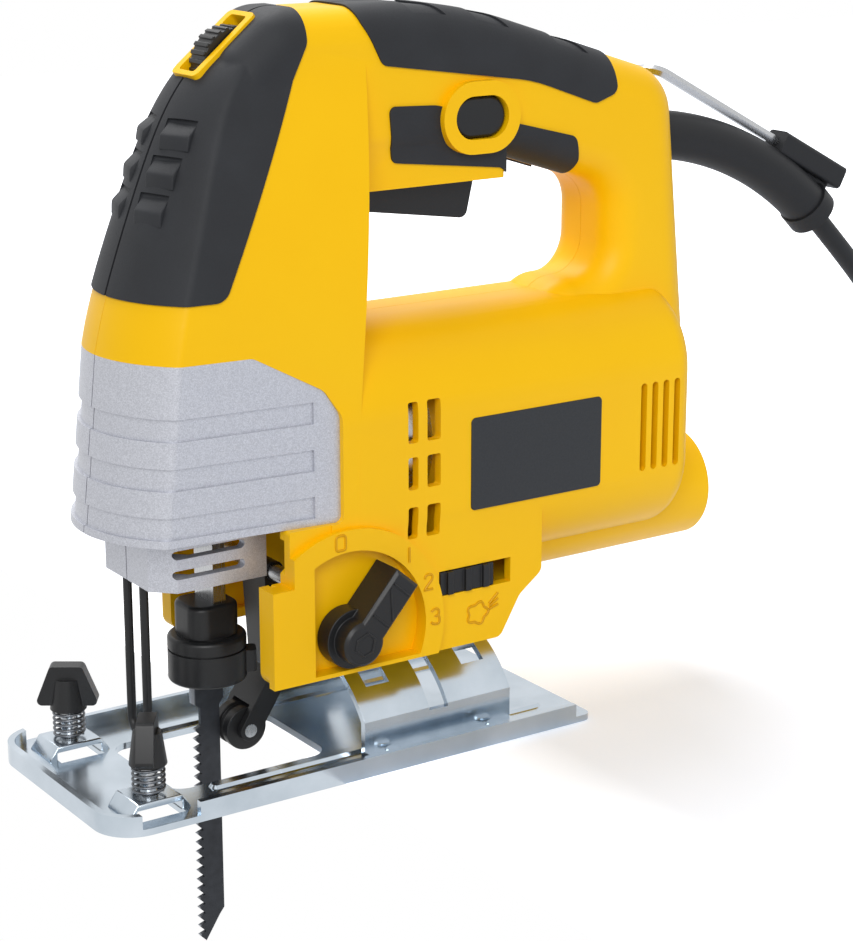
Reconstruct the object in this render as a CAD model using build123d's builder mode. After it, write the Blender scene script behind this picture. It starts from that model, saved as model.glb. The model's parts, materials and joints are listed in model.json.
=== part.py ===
from build123d import *
import math
import os

# Corded jigsaw with a D handle. Millimetres. +X runs to the rear of the tool, +Z up, -Y is its left side.
# The origin is on the sole, where the middle line of the saw blade crosses it.

# Base plate, pressed from steel sheet
plate_sheet = 2.0
plate_front = -50.0
plate_rear = 113.0
plate_half_width = 38.5
plate_corner = 12.0
plate_rim_height = 6.0
blade_window_front = -22.0
blade_window_rear = 30.0
blade_window_half_width = 20.0
blade_window_corner = 6.0
bead_width = 4.6
bead_side = 23.3
bead_front = -12.0
bead_rear = 104.0
bead_rise = 0.9
tilt_axis_height = -6.0
saddle_radius = 35.5
saddle_sheet = 2.0
saddle_front = 36.0
saddle_rear = 88.0
saddle_leg_side = 30.0
saddle_foot_width = 6.3
saddle_slot_width = 6.6
saddle_play = 0.3
rivet_radius = 2.0
rivet_head = 0.8
rivet_inset = 8.0

# Rip fence bridges and their spring-loaded wing screws
fence_x = -32.0
fence_side = 25.0
fence_bar_width = 13.0
bridge_rise = 4.2
bridge_slope = 3.0
fence_bridge_length = 13.0
fence_screw_radius = 2.5
fence_knob_bottom = 15.0
fence_knob_height = 13.5
fence_wing_half_span = 9.5
fence_spring_radius = 4.4
fence_spring_wire = 0.4
fence_spring_turns = 5

# Housing: motor barrel, nose, D handle and lower skirt
wall = 3.0
grip_depth = 1.5
grip_proud = 0.6
barrel_front = 24.0
barrel_rear = 156.0
barrel_half_width = 32.5
barrel_bottom = 50.0
barrel_top = 128.0
barrel_corner = 25.0
barrel_rear_round = 7.0
nose_bow = 0.45
nose_round = 4.0
cover_line = 126.0
handle_half_width = 16.5
handle_round = 10.0
handle_top = 216.5
handle_bend_x = 78.0
handle_bend_radius = 150.0
handle_slope = 17.5
handle_rear = 169.0
handle_rear_lean = 9.5
handle_rear_round = 16.0
handle_root = 100.0
handle_front = 30.0
window_rear = 135.0
window_top = 171.5
window_top_rear = 159.5
window_bottom = 131.0
window_round = 11.0
ledge_bottom = 165.5
ledge_rear = 95.5
ledge_inset = 1.0
ledge_round = 2.0
dial_face_front = -3.0
dial_face_rear = 20.0
dial_face_low = 197.5
skirt_front = 3.5
skirt_rear = 82.8
skirt_bottom = 31.0
skirt_half_width = 32.0

# Die-cast gear cover
cover_front_low = -36.8
cover_floor = 76.0
cover_back = 28.0
cover_notch = 10.5
cover_band_height = 6.2
cover_band_pitch = 13.6
cover_band_low = 78.2
cover_band_depth = 0.9
cover_band_end = 20.0
cover_skirt_bottom = 60.0
cover_skirt_front = -24.0
cover_skirt_half_width = 19.0
cover_skirt_chamfer = 6.0
cover_skirt_wall = 3.0
cover_slot_height = 2.6

# Motor and gear train
motor_height = 92.0
shaft_radius = 4.0
stator_radius = 26.0
stator_front = 49.0
stator_rear = 82.0
armature_radius = 16.0
air_gap = 0.8
fan_radius = 25.0
fan_blades = 15
bearing_radius = 9.5
bearing_width = 6.0
front_bearing_x = 31.0
rear_bearing_x = 111.5
commutator_radius = 10.5
commutator_front = 88.0
commutator_length = 12.0
gear_module = 1.0
pinion_teeth = 9
gear_teeth = 45
gear_face = 7.0
gear_front = 14.5
gear_axle_radius = 4.0
running_fit = 0.05
stroke = 18.0

# Inner mechanism
gear_height = 119.0
pin_radius = 3.0
pin_throw = stroke / 2
pin_height = gear_height - pin_throw
pin_play = 0.4
yoke_half_width = 13.0
yoke_height = 14.0
yoke_depth = 6.0
bracket_front = 23.5
bracket_low = 79.2
bracket_high = 152.0
bracket_half_width = 16.0
bracket_shaft_hole = 6.5
arm_plate_front = -4.0
arm_plate_height = 6.0
arm_plate_half_width = 10.0
bush_length = 8.0
bush_width = 15.0
tooth_root_share = 0.27
tooth_crown_share = 0.12
counterweight_thick = 2.5
counterweight_radius = 16.0
pinion_front = 14.0
pinion_rear = 22.5
pinion_bore = 2.2
shaft_rear = 118.0
armature_front = 50.0
armature_rear = 81.0
armature_slots = 12
fan_front = 39.0
fan_rear = 46.0
fan_disc = 1.5
fan_hub_radius = 8.0
brush_size = 7.0
brush_gap = 0.4

# Plunger, blade clamp and blade
plunger_x = 2.5
plunger_thick = 4.0
plunger_width = 11.0
plunger_bottom = 40.0
plunger_top = 155.0
collar_side = 15.9
collar_corner = 5.0
collar_top = 49.5
ring_radius = 11.5
ring_inner_radius = 8.5
ring_bottom = 25.5
ring_round = 1.2
ring_groove_height = 35.0
ring_groove = 0.6
ring_tab_reach = 14.2
ring_tab_width = 6.0
ring_tab_low = 27.5
ring_tab_high = 34.0
ring_tab_angle = -25.0
collar_x = 1.0
collar_step = 39.8
tang_front = -2.9
tang_rear = 3.3
shoulder_top = 24.0
shoulder_bottom = 18.5
ring_top = 39.5
blade_thick = 1.3
blade_back = 4.2
blade_width = 8.5
blade_tip = -58.0
blade_tooth_pitch = 3.0
blade_tooth_depth = 2.2

# Guide roller
roller_radius = 6.6
roller_width = 8.6
roller_height = 8.5
roller_gap = 0.4
arm_pivot_x = 20.0
arm_pivot_height = 56.0
arm_elbow_x = 22.0
arm_elbow_height = 25.0
arm_width = 6.5
arm_half_depth = 6.8
arm_pin_radius = 2.5
arm_pin_half_length = 28.5
arm_boss_radius = 6.0
roller_pin_radius = 2.0

# Rear dust tube
tube_radius = 17.5
tube_bore = 14.5
tube_height = 57.5
tube_front = 84.0
tube_rear = 176.0

# Strain relief, hex key and cord
sleeve_radius = 7.6
sleeve_start_x = 162.0
sleeve_seat = 4.9
sleeve_hole_depth = 14.0
sleeve_start_height = 171.0
sleeve_start_angle = -5.0
sleeve_bend_radius = 113.7
sleeve_turn = 39.0
sleeve_flare = 0.8
sleeve_mouth = 0.8
sleeve_flange = 3.5
sleeve_flange_radius = 9.5
cord_radius = 3.5
cord_inside = 32.0
cord_lead = 24.0
cord_bend_x = 268.0
cord_bend_side = 12.0
cord_bend_height = 97.0
cord_fall_x = 280.0
cord_fall_side = 26.0
cord_fall_height = 60.0
cord_foot_x = 287.0
cord_foot_side = 33.0
cord_foot_height = 24.0
cord_floor_x = 310.0
cord_tail = 4.0
route_share = 0.45
cord_clamp_front = 143.5
cord_clamp_length = 6.0
cord_clamp_height = 12.0
coil_x = 340.0
coil_side = -19.6
coil_outer = 54.6
coil_step = 7.6
coil_first_turns = 3
coil_climb_turns = 0.5
coil_second_turns = 1.75
coil_lift_turns = 0.5
plug_bend_radius = 32.0
coil_widening = 3.2
tie_thick = 0.8
tie_play = 0.3
tie_width = 6.0
plug_length = 42.0
plug_half_width = 14.0
plug_half_height = 6.5
plug_pin_pitch = 19.0
plug_pin_radius = 2.4
plug_pin_length = 19.0
key_across_flats = 3.0
key_bend_x = 163.3
key_bend_height = 191.2
key_tip_x = 240.4
key_tip_height = 150.6
key_short_arm = 18.0
clip_length = 30.0
clip_width = 9.0
clip_height = 7.5
clip_web = 3.0

os.makedirs("parts", exist_ok=True)


def keep(piece, name):
    """Label a finished piece and write its STEP file."""
    piece.label = name
    export_step(piece, f"parts/{name}.step")


# Nose stations: height, front of the nose, back of the nose, half width at its corners and at its back
nose_stations = [
    (60.0, -36.0, 36.0, 26.5, 31.8),
    (cover_line, -31.3, 36.0, 26.5, 31.5),
    (142.0, -27.0, 38.0, 25.5, 30.0),
    (170.0, -16.7, 42.0, 22.0, 25.0),
    (198.0, -2.0, 46.0, 16.0, 17.5),
    (207.0, 8.0, 47.0, 12.5, 15.0),
]


def nose_plan(height, front, back, half_front, half_back, grow):
    """Plan section of the nose: a bowed front between two blunt corners and straight flanks."""
    corner = front - grow + nose_bow * half_front
    with BuildSketch(Plane.XY.offset(height)) as plan:
        with BuildLine():
            bow = ThreePointArc(
                (corner, -half_front - grow), (front - grow, 0), (corner, half_front + grow)
            )
            Polyline(
                bow @ 1,
                (back + grow, half_back + grow),
                (back + grow, -half_back - grow),
                bow @ 0,
            )
        make_face()
        fillet(plan.vertices().group_by(Axis.X)[0], nose_round)
    return plan.sketch


def handle_form(grow):
    """Top handle and rear post, an L-shaped side profile with rounded edges."""
    handle_end = handle_rear - handle_rear_lean
    rear_drop = (handle_end - handle_bend_x) * math.tan(math.radians(handle_slope))
    corners = [
        ((dial_face_front, dial_face_low), 12),
        ((dial_face_rear, handle_top), 14),
        ((handle_bend_x, handle_top), handle_bend_radius),
        ((handle_end, handle_top - rear_drop), handle_rear_round),
        ((handle_rear, handle_root), 12),
        ((window_rear - 24, handle_root), 12),
        ((window_rear - 24, window_bottom), 12),
        ((window_rear, window_bottom), window_round),
        ((window_rear, window_top_rear), window_round),
        ((ledge_rear + 2, window_top), 30),
        ((handle_front, window_top), 12),
    ]
    with BuildPart() as form:
        with BuildSketch(Plane.XZ):
            with BuildLine():
                FilletPolyline(*[p for p, r in corners], radius=[r for p, r in corners], close=True)
            make_face()
            offset(amount=grow, mode=Mode.REPLACE)
        extrude(amount=handle_half_width + grow, both=True)
        fillet(form.faces().filter_by(Axis.Y).edges(), handle_round + grow)
    with BuildPart() as ledge:
        with BuildSketch(Plane.XY.offset(ledge_bottom - grow)):
            with Locations(((handle_front + ledge_rear) / 2, 0)):
                RectangleRounded(
                    ledge_rear - handle_front + 2 * grow,
                    2 * (handle_half_width - ledge_inset + grow),
                    ledge_round,
                )
        extrude(amount=handle_half_width)
    with BuildPart() as handle:
        add(form.part)
        add(ledge.part)
    return handle.part


def casing_form(grow):
    """The housing's outer form, moved outwards by grow on every side."""
    handle = handle_form(grow)
    nose = [nose_plan(*station, grow) for station in nose_stations]
    with BuildPart() as form:
        with BuildSketch(Plane.YZ.offset(barrel_front)):
            with Locations((0, (barrel_top + barrel_bottom) / 2)):
                RectangleRounded(
                    2 * (barrel_half_width + grow),
                    barrel_top - barrel_bottom + 2 * grow,
                    barrel_corner + grow,
                )
        extrude(amount=barrel_rear - barrel_front + grow)
        fillet(form.faces().sort_by(Axis.X)[-1].edges(), barrel_rear_round + grow)
        loft(sections=nose)
        with BuildSketch(Plane.XZ):
            with BuildLine():
                FilletPolyline(
                    (skirt_front, skirt_bottom),
                    (skirt_front, cover_floor),
                    (skirt_rear + 15, cover_floor),
                    (skirt_rear + 15, barrel_bottom - 1),
                    (skirt_rear + 7, skirt_bottom + 12),
                    (skirt_rear, skirt_bottom),
                    radius=[4, 1, 1, 3, 6, 3],
                    close=True,
                )
            make_face()
            offset(amount=grow, mode=Mode.REPLACE)
        extrude(amount=skirt_half_width + grow, both=True)
        add(handle)
    return form.part


outer_form = casing_form(0)
inner_form = casing_form(-wall)
with BuildPart() as grip_layer:
    add(casing_form(grip_proud))
    add(casing_form(-grip_depth), mode=Mode.SUBTRACT)


def side_outline(corners):
    """A closed side-view outline on the XZ plane, from corner points with their radii."""
    with BuildSketch() as outline:
        with BuildLine():
            FilletPolyline(*[p for p, r in corners], radius=[r for p, r in corners], close=True)
        make_face()
    return outline.sketch


def side_block(corners, low, high):
    """A prism of a side-view outline, from y = low to y = high."""
    with BuildPart() as block:
        with BuildSketch(Plane.XZ.offset(-high)):
            add(side_outline(corners))
        extrude(amount=high - low)
    return block.part


def grip_skin(corners, low, high):
    """A soft grip skin let into the housing, inside a side-view outline."""
    region = side_block(corners, low, high)
    with BuildPart() as skin:
        add(grip_layer.part)
        add(region, mode=Mode.INTERSECT)
    return skin.part


def half(piece, side):
    """The left (Keep.TOP) or right (Keep.BOTTOM) half of a piece, cut at the middle plane."""
    with BuildPart() as part_half:
        add(piece)
        split(bisect_by=Plane.XZ, keep=side)
    return part_half.part


def tube_along_x(radius, front, rear, height, side=0.0):
    """A round bar along X."""
    with BuildPart() as bar:
        with BuildSketch(Plane.YZ.offset(front)):
            with Locations((side, height)):
                Circle(radius)
        extrude(amount=rear - front)
    return bar.part


def pin_along_y(radius, x, height, half_length):
    """A round pin along Y, about the middle plane."""
    with BuildPart() as pin:
        with BuildSketch(Plane.XZ):
            with Locations((x, height)):
                Circle(radius)
        extrude(amount=half_length, both=True)
    return pin.part


def bar_from(start, way, low, high, radius):
    """A round bar along a direction, from low to high past its start."""
    with BuildPart() as bar:
        with BuildSketch(Plane(start + way * low, z_dir=way)):
            Circle(radius)
        extrude(amount=high - low)
    return bar.part


half_limit = 60.0
turn_start = math.radians(sleeve_start_angle)
turn_end = math.radians(sleeve_start_angle - sleeve_turn)
sleeve_way = Vector(math.cos(turn_start), 0, math.sin(turn_start))
sleeve_end_way = Vector(math.cos(turn_end), 0, math.sin(turn_end))
sleeve_root = Vector(sleeve_start_x, 0, sleeve_start_height)
sleeve_end = sleeve_root + Vector(
    sleeve_bend_radius * (math.sin(turn_start) - math.sin(turn_end)),
    0,
    -sleeve_bend_radius * (math.cos(turn_start) - math.cos(turn_end)),
)
grip_line_low = 142.0
front_grip_outline = [
    ((-60, grip_line_low), 0),
    ((-5, grip_line_low), 5),
    ((27.5, 208), 6),
    ((29, 228), 0),
    ((-60, 228), 0),
]
handle_grip_outline = [
    ((42, 228), 0),
    ((46, 212), 3),
    ((52, 200.5), 3),
    ((104, 193), 60),
    ((127, 184.8), 3),
    ((135, 187.5), 3),
    ((133, 228), 0),
]
side_panel_outline = [
    ((54, 189), 2),
    ((70, 188.3), 12),
    ((119.8, 175.6), 3),
    ((122, 168), 4),
    ((121, 158), 2),
    ((99, 165), 3),
    ((93, 168.6), 3),
    ((55.4, 173), 2),
]

# Dial: a ribbed thumbwheel in a raised bezel, on the sloping face above the nose
dial_slope = math.atan2(handle_top - dial_face_low, dial_face_rear - dial_face_front)
dial_plane = Plane(
    origin=((dial_face_front + dial_face_rear) / 2, 0, (dial_face_low + handle_top) / 2),
    x_dir=(math.cos(dial_slope), 0, math.sin(dial_slope)),
    z_dir=(-math.sin(dial_slope), 0, math.cos(dial_slope)),
)
bezel_length = 25.0
bezel_width = 14.0
bezel_proud = 1.4
bezel_window_length = 21.6
bezel_window_width = 8.6
wheel_radius = 10.5
wheel_width = 7.6
wheel_depth = 6.5
wheel_axle_radius = 1.5

with BuildPart() as dial_bezel:
    with BuildSketch(dial_plane.offset(-wall)):
        RectangleRounded(bezel_length, bezel_width, 2)
        RectangleRounded(bezel_window_length, bezel_window_width, 1, mode=Mode.SUBTRACT)
    extrude(amount=wall + bezel_proud)
    lug_mid = (bezel_window_width / 2 + bezel_width / 2) / 2
    lug_thick = (bezel_width - bezel_window_width) / 2
    with BuildSketch(dial_plane.offset(-wheel_depth - 3)):
        with Locations((0, lug_mid), (0, -lug_mid)):
            Rectangle(7, lug_thick)
    extrude(amount=wheel_depth + 3 - wall)
    with BuildSketch(Plane(dial_plane.offset(-wheel_depth).origin, x_dir=(1, 0, 0), z_dir=(0, -1, 0))):
        Circle(wheel_axle_radius + running_fit)
    extrude(amount=bezel_width, both=True, mode=Mode.SUBTRACT)

with BuildPart() as bezel_seat:
    with BuildSketch(dial_plane.offset(-wall - 2)):
        RectangleRounded(bezel_length, bezel_width, 2)
    extrude(amount=wall + 2 + 6)

wheel_plane = Plane(dial_plane.offset(-wheel_depth).origin, x_dir=(1, 0, 0), z_dir=(0, -1, 0))
with BuildPart() as speed_wheel:
    with BuildSketch(wheel_plane):
        Circle(wheel_radius)
        with PolarLocations(wheel_radius, 26):
            Rectangle(1.2, 1.2, mode=Mode.SUBTRACT)
    extrude(amount=wheel_width / 2, both=True)
    with BuildSketch(wheel_plane):
        Circle(wheel_axle_radius)
    extrude(amount=bezel_width / 2, both=True)

front_grip = grip_skin(front_grip_outline, -half_limit, half_limit)

# Finger louvres of the front grip: wedges, deep at their upper edge and running out below
louvre_heights = [170.0, 179.7, 189.3]
louvre_side = 8.5
louvre_length = 11.0
louvre_drop = 6.0
louvre_depth = 1.2
louvre_over = 1.5
with BuildPart() as louvres:
    for height in louvre_heights:
        for side in (-louvre_side, louvre_side):
            beam = Axis((-half_limit, side, height), (1, 0, 0))
            point, normal = front_grip.find_intersection_points(beam)[0]
            along = Vector(0, 0, 1).cross(normal).normalized()
            with BuildSketch(Plane(point, x_dir=normal, z_dir=along)):
                with BuildLine():
                    Polyline(
                        (louvre_over, 0),
                        (-louvre_depth, 0),
                        (0, louvre_drop),
                        (louvre_over, louvre_drop),
                        close=True,
                    )
                make_face()
            extrude(amount=louvre_length / 2, both=True)

with BuildPart() as front_grip_open:
    add(front_grip)
    add(bezel_seat.part, mode=Mode.SUBTRACT)
    add(louvres.part, mode=Mode.SUBTRACT)

# Top grip with three wide chevron grooves, as deep as it stands proud
chevron_places = [61.0, 83.0, 112.0]
chevron_width = 6.5
chevron_front_lean = 3.0
chevron_rear_lean = 8.0
chevron_half_width = 13.5
handle_grip_plain = grip_skin(handle_grip_outline, -half_limit, half_limit)
with BuildPart() as chevrons:
    for x in chevron_places:
        with BuildSketch(Plane.XY.offset(ledge_bottom)):
            with BuildLine():
                Polyline(
                    (x, 0),
                    (x + chevron_front_lean, chevron_half_width),
                    (x + chevron_rear_lean + chevron_width, chevron_half_width),
                    (x + chevron_width, 0),
                    (x + chevron_rear_lean + chevron_width, -chevron_half_width),
                    (x + chevron_front_lean, -chevron_half_width),
                    close=True,
                )
            make_face()
        extrude(amount=half_limit)
    add(outer_form, mode=Mode.SUBTRACT)
with BuildPart() as handle_grip_grooved:
    add(handle_grip_plain)
    add(chevrons.part, mode=Mode.SUBTRACT)
handle_grip = handle_grip_grooved.part
panel_inner = handle_half_width - handle_round + 1
left_panel = grip_skin(side_panel_outline, -half_limit, -panel_inner)
right_panel = grip_skin(side_panel_outline, panel_inner, half_limit)

# Gear cover: a die-cast nose in two halves, with three sunk bands and a narrow skirt below
cover_wall = 2.6
cover_outline = [
    ((-60, cover_line), 0),
    ((2, cover_line), 4),
    ((23, 114.6), 6),
    ((cover_back, 107), 6),
    ((cover_back, cover_floor), 2),
    ((cover_notch, cover_floor), 1),
    ((cover_notch, cover_skirt_bottom), 0),
    ((-60, cover_skirt_bottom), 0),
]


def cover_form(grow, low, high):
    """The gear cover's nose between two heights, moved outwards by grow."""
    rise = cover_line - cover_floor
    line_station = nose_stations[1]
    sections = []
    for height in (low, high):
        share = (height - cover_floor) / rise
        front = cover_front_low + share * (line_station[1] - cover_front_low)
        sections.append(nose_plan(height, front, *line_station[2:], grow))
    with BuildPart() as form:
        loft(sections=sections, ruled=True)
    return form.part


cover_region = side_block(cover_outline, -half_limit, half_limit)
cover_body = cover_form(0, cover_floor, cover_line)
cover_space = cover_form(-cover_wall, cover_floor + cover_wall, cover_line + 1)
cover_band_floor = cover_form(-cover_band_depth, cover_floor, cover_line)

with BuildPart() as cover_bands:
    add(cover_body)
    add(cover_band_floor, mode=Mode.SUBTRACT)
    with BuildSketch(Plane.XZ):
        for band in range(3):
            with Locations((0, cover_band_low + cover_band_height / 2 + band * cover_band_pitch)):
                Rectangle(2 * cover_band_end, cover_band_height)
                with Locations((-2 * cover_band_end, 0)):
                    Rectangle(2 * cover_band_end, cover_band_height)
    extrude(amount=half_limit, both=True, mode=Mode.INTERSECT)


def cover_skirt_plan(inset, front_inset):
    """Plan of the gear cover's skirt, with cut corners at the front."""
    side = cover_skirt_half_width - inset
    front = cover_skirt_front + front_inset
    back = cover_notch + inset
    with BuildSketch() as plan:
        with BuildLine():
            Polyline(
                (front, -side + cover_skirt_chamfer),
                (front, side - cover_skirt_chamfer),
                (front + cover_skirt_chamfer, side),
                (back, side),
                (back, -side),
                (front + cover_skirt_chamfer, -side),
                close=True,
            )
        make_face()
    return plan.sketch


guard_wire_radius = 1.3
guard_half_span = 5.0
guard_x = cover_skirt_front + 2.6
guard_bottom = 13.0
guard_top = cover_skirt_bottom + 12
slot_heights = [cover_skirt_bottom + 5.2, cover_skirt_bottom + 11.0]

with BuildPart() as gear_cover:
    add(cover_body)
    add(cover_bands.part, mode=Mode.SUBTRACT)
    with BuildSketch(Plane.XY.offset(cover_skirt_bottom)):
        add(cover_skirt_plan(0, 0))
    extrude(amount=cover_floor - cover_skirt_bottom + cover_wall)
    add(cover_region, mode=Mode.INTERSECT)
    add(cover_space, mode=Mode.SUBTRACT)
    with BuildSketch(Plane.XY.offset(cover_skirt_bottom)):
        add(cover_skirt_plan(cover_skirt_wall, 2 * guard_wire_radius + 2.6))
    extrude(amount=cover_floor - cover_skirt_bottom + cover_wall, mode=Mode.SUBTRACT)
    with BuildSketch(Plane.XZ):
        for height in slot_heights:
            with Locations(((cover_skirt_front + cover_notch) / 2 - 1, height)):
                SlotOverall(cover_notch - cover_skirt_front - 12, cover_slot_height)
    extrude(amount=half_limit, both=True, mode=Mode.SUBTRACT)
    with BuildSketch(Plane.XY.offset(cover_skirt_bottom)):
        with Locations((guard_x, guard_half_span), (guard_x, -guard_half_span)):
            Circle(guard_wire_radius)
    extrude(amount=guard_top - cover_skirt_bottom, mode=Mode.SUBTRACT)

keep(half(gear_cover.part, Keep.TOP), "gear_cover_left")
keep(half(gear_cover.part, Keep.BOTTOM), "gear_cover_right")

# Finger guard: a bent wire held in the gear cover's front wall
with BuildPart() as finger_guard:
    with BuildLine() as guard_path:
        FilletPolyline(
            (guard_x, -guard_half_span, guard_top),
            (guard_x, -guard_half_span, guard_bottom),
            (guard_x, guard_half_span, guard_bottom),
            (guard_x, guard_half_span, guard_top),
            radius=4.0,
        )
    with BuildSketch(Plane(guard_path.line @ 0, z_dir=guard_path.line % 0)):
        Circle(guard_wire_radius)
    sweep()
keep(finger_guard.part, "finger_guard")

# Cavity of the housing, with bulkheads left standing across it for the bearings and the stator
bulkhead_front = front_bearing_x - 0.5
bulkhead_rear = front_bearing_x + bearing_width + 0.5
stator_rib = 6.0
stator_rib_x = (stator_front + stator_rear) / 2 - stator_rib / 2
rear_bulkhead_front = rear_bearing_x - 0.5
rear_bulkhead_rear = rear_bearing_x + bearing_width + 0.5
bulkhead_top = 150.0
boss_radius = 4.5
screw_radius = 2.0
screw_head_radius = 3.4
screw_head_low = 4.0
screw_head_height = 3.0
screw_length = 14.0
screw_places = [(44.0, 57.0), (40.0, 176.0), (134.0, 116.0), (143.0, 186.0), (100.0, 120.0), (108.0, 184.0)]
stator_rib_low = 62.0
bulkheads = [
    (bulkhead_front, bulkhead_rear, 0.0),
    (stator_rib_x, stator_rib_x + stator_rib, stator_rib_low),
    (rear_bulkhead_front, rear_bulkhead_rear, 0.0),
]
with BuildPart() as cavity:
    add(inner_form)
    for front, rear, low in bulkheads:
        with BuildSketch(Plane.YZ.offset(front)):
            with Locations((0, (low + bulkhead_top) / 2)):
                Rectangle(2 * half_limit, bulkhead_top - low)
        extrude(amount=rear - front, mode=Mode.SUBTRACT)
    with BuildSketch(Plane.XZ):
        with Locations(*screw_places):
            Circle(boss_radius)
    extrude(amount=half_limit, both=True, mode=Mode.SUBTRACT)

# Trigger and lock-on button
trigger_front = 49.0
trigger_rear = 88.5
trigger_half_width = 8.6
trigger_play = 0.4
trigger_rise = 9.0
trigger_flange = 3.0
trigger_corners = [
    ((trigger_front, ledge_bottom - 6.7), 2),
    ((trigger_rear - 2.5, ledge_bottom - 12.2), 2.5),
    ((trigger_rear, ledge_bottom - 1.5), 2),
    ((trigger_rear, ledge_bottom + trigger_rise), 1),
    ((trigger_front, ledge_bottom + trigger_rise), 1),
]
button_x = 84.5
button_height = 184.0
button_length = 17.6
button_width = 11.6
button_play = 0.4
button_flange = 1.5
button_pocket = 6.0
collar_ring_width = 4.6
collar_ring_proud = 2.6
switch_front = 50.0
switch_rear = 88.0
switch_bottom = 191.5
switch_top = 203.4


def oval(length, width):
    """An upright oval, for the lock-on button and its collar."""
    with BuildSketch() as shape:
        SlotOverall(length, width)
    return shape.sketch


button_plane = Plane.XZ.shift_origin((button_x, 0, button_height))

# Selector scale, blower slot, nameplate and vents on the sides
selector_x = 28.9
selector_height = 42.3
scale_radius = 32.0
scale_proud = 2.4
pan_radius = 25.6
pan_front = 17.0
pan_low = 32.6
pan_depth = 4.8
pan_floor = 3.0
pan_level = skirt_half_width + scale_proud - pan_depth
pan_inside = pan_level - pan_floor
lever_shaft_radius = 4.0
lever_shaft_end = 0.5
slider_front = 61.0
slider_length = 19.0
slider_height = 51.5
slider_width = 7.0
slider_travel = 6.0
slider_play = 0.3
slider_proud = 0.3
slider_rib = 1.0
nameplate_front = 71.5
nameplate_rear = 119.0
nameplate_low = 72.2
nameplate_high = 100.0
nameplate_thick = 1.4
nameplate_proud = 0.4
vent_columns = [(51.5, 3.4), (58.6, 4.6)]
vent_rows = [(71.8, 9.6), (86.6, 9.6), (101.6, 12.0)]
rear_vents = 4
rear_vent_x = 135.4
rear_vent_pitch = 4.3
rear_vent_width = 2.3
rear_vent_low = 74.0
rear_vent_high = 101.5
seat_front = 40.0
seat_rear = 84.0
seat_half_width = 12.0
clamp_x = (saddle_front + saddle_rear) / 2
clamp_screw_radius = 3.0

trigger_slot = side_block(
    [
        ((trigger_front - trigger_play, ledge_bottom - 2 * wall), 0),
        ((trigger_rear + trigger_play, ledge_bottom - 2 * wall), 0),
        ((trigger_rear + trigger_play, ledge_bottom + 2 * wall), 0),
        ((trigger_front - trigger_play, ledge_bottom + 2 * wall), 0),
    ],
    -trigger_half_width - trigger_play,
    trigger_half_width + trigger_play,
)

with BuildPart() as side_panel_left:
    add(left_panel)
    with BuildSketch(button_plane.offset(handle_half_width - wall)):
        add(oval(button_length + 2 * collar_ring_width, button_width + 2 * collar_ring_width))
    extrude(amount=wall + collar_ring_proud, mode=Mode.SUBTRACT)

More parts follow.
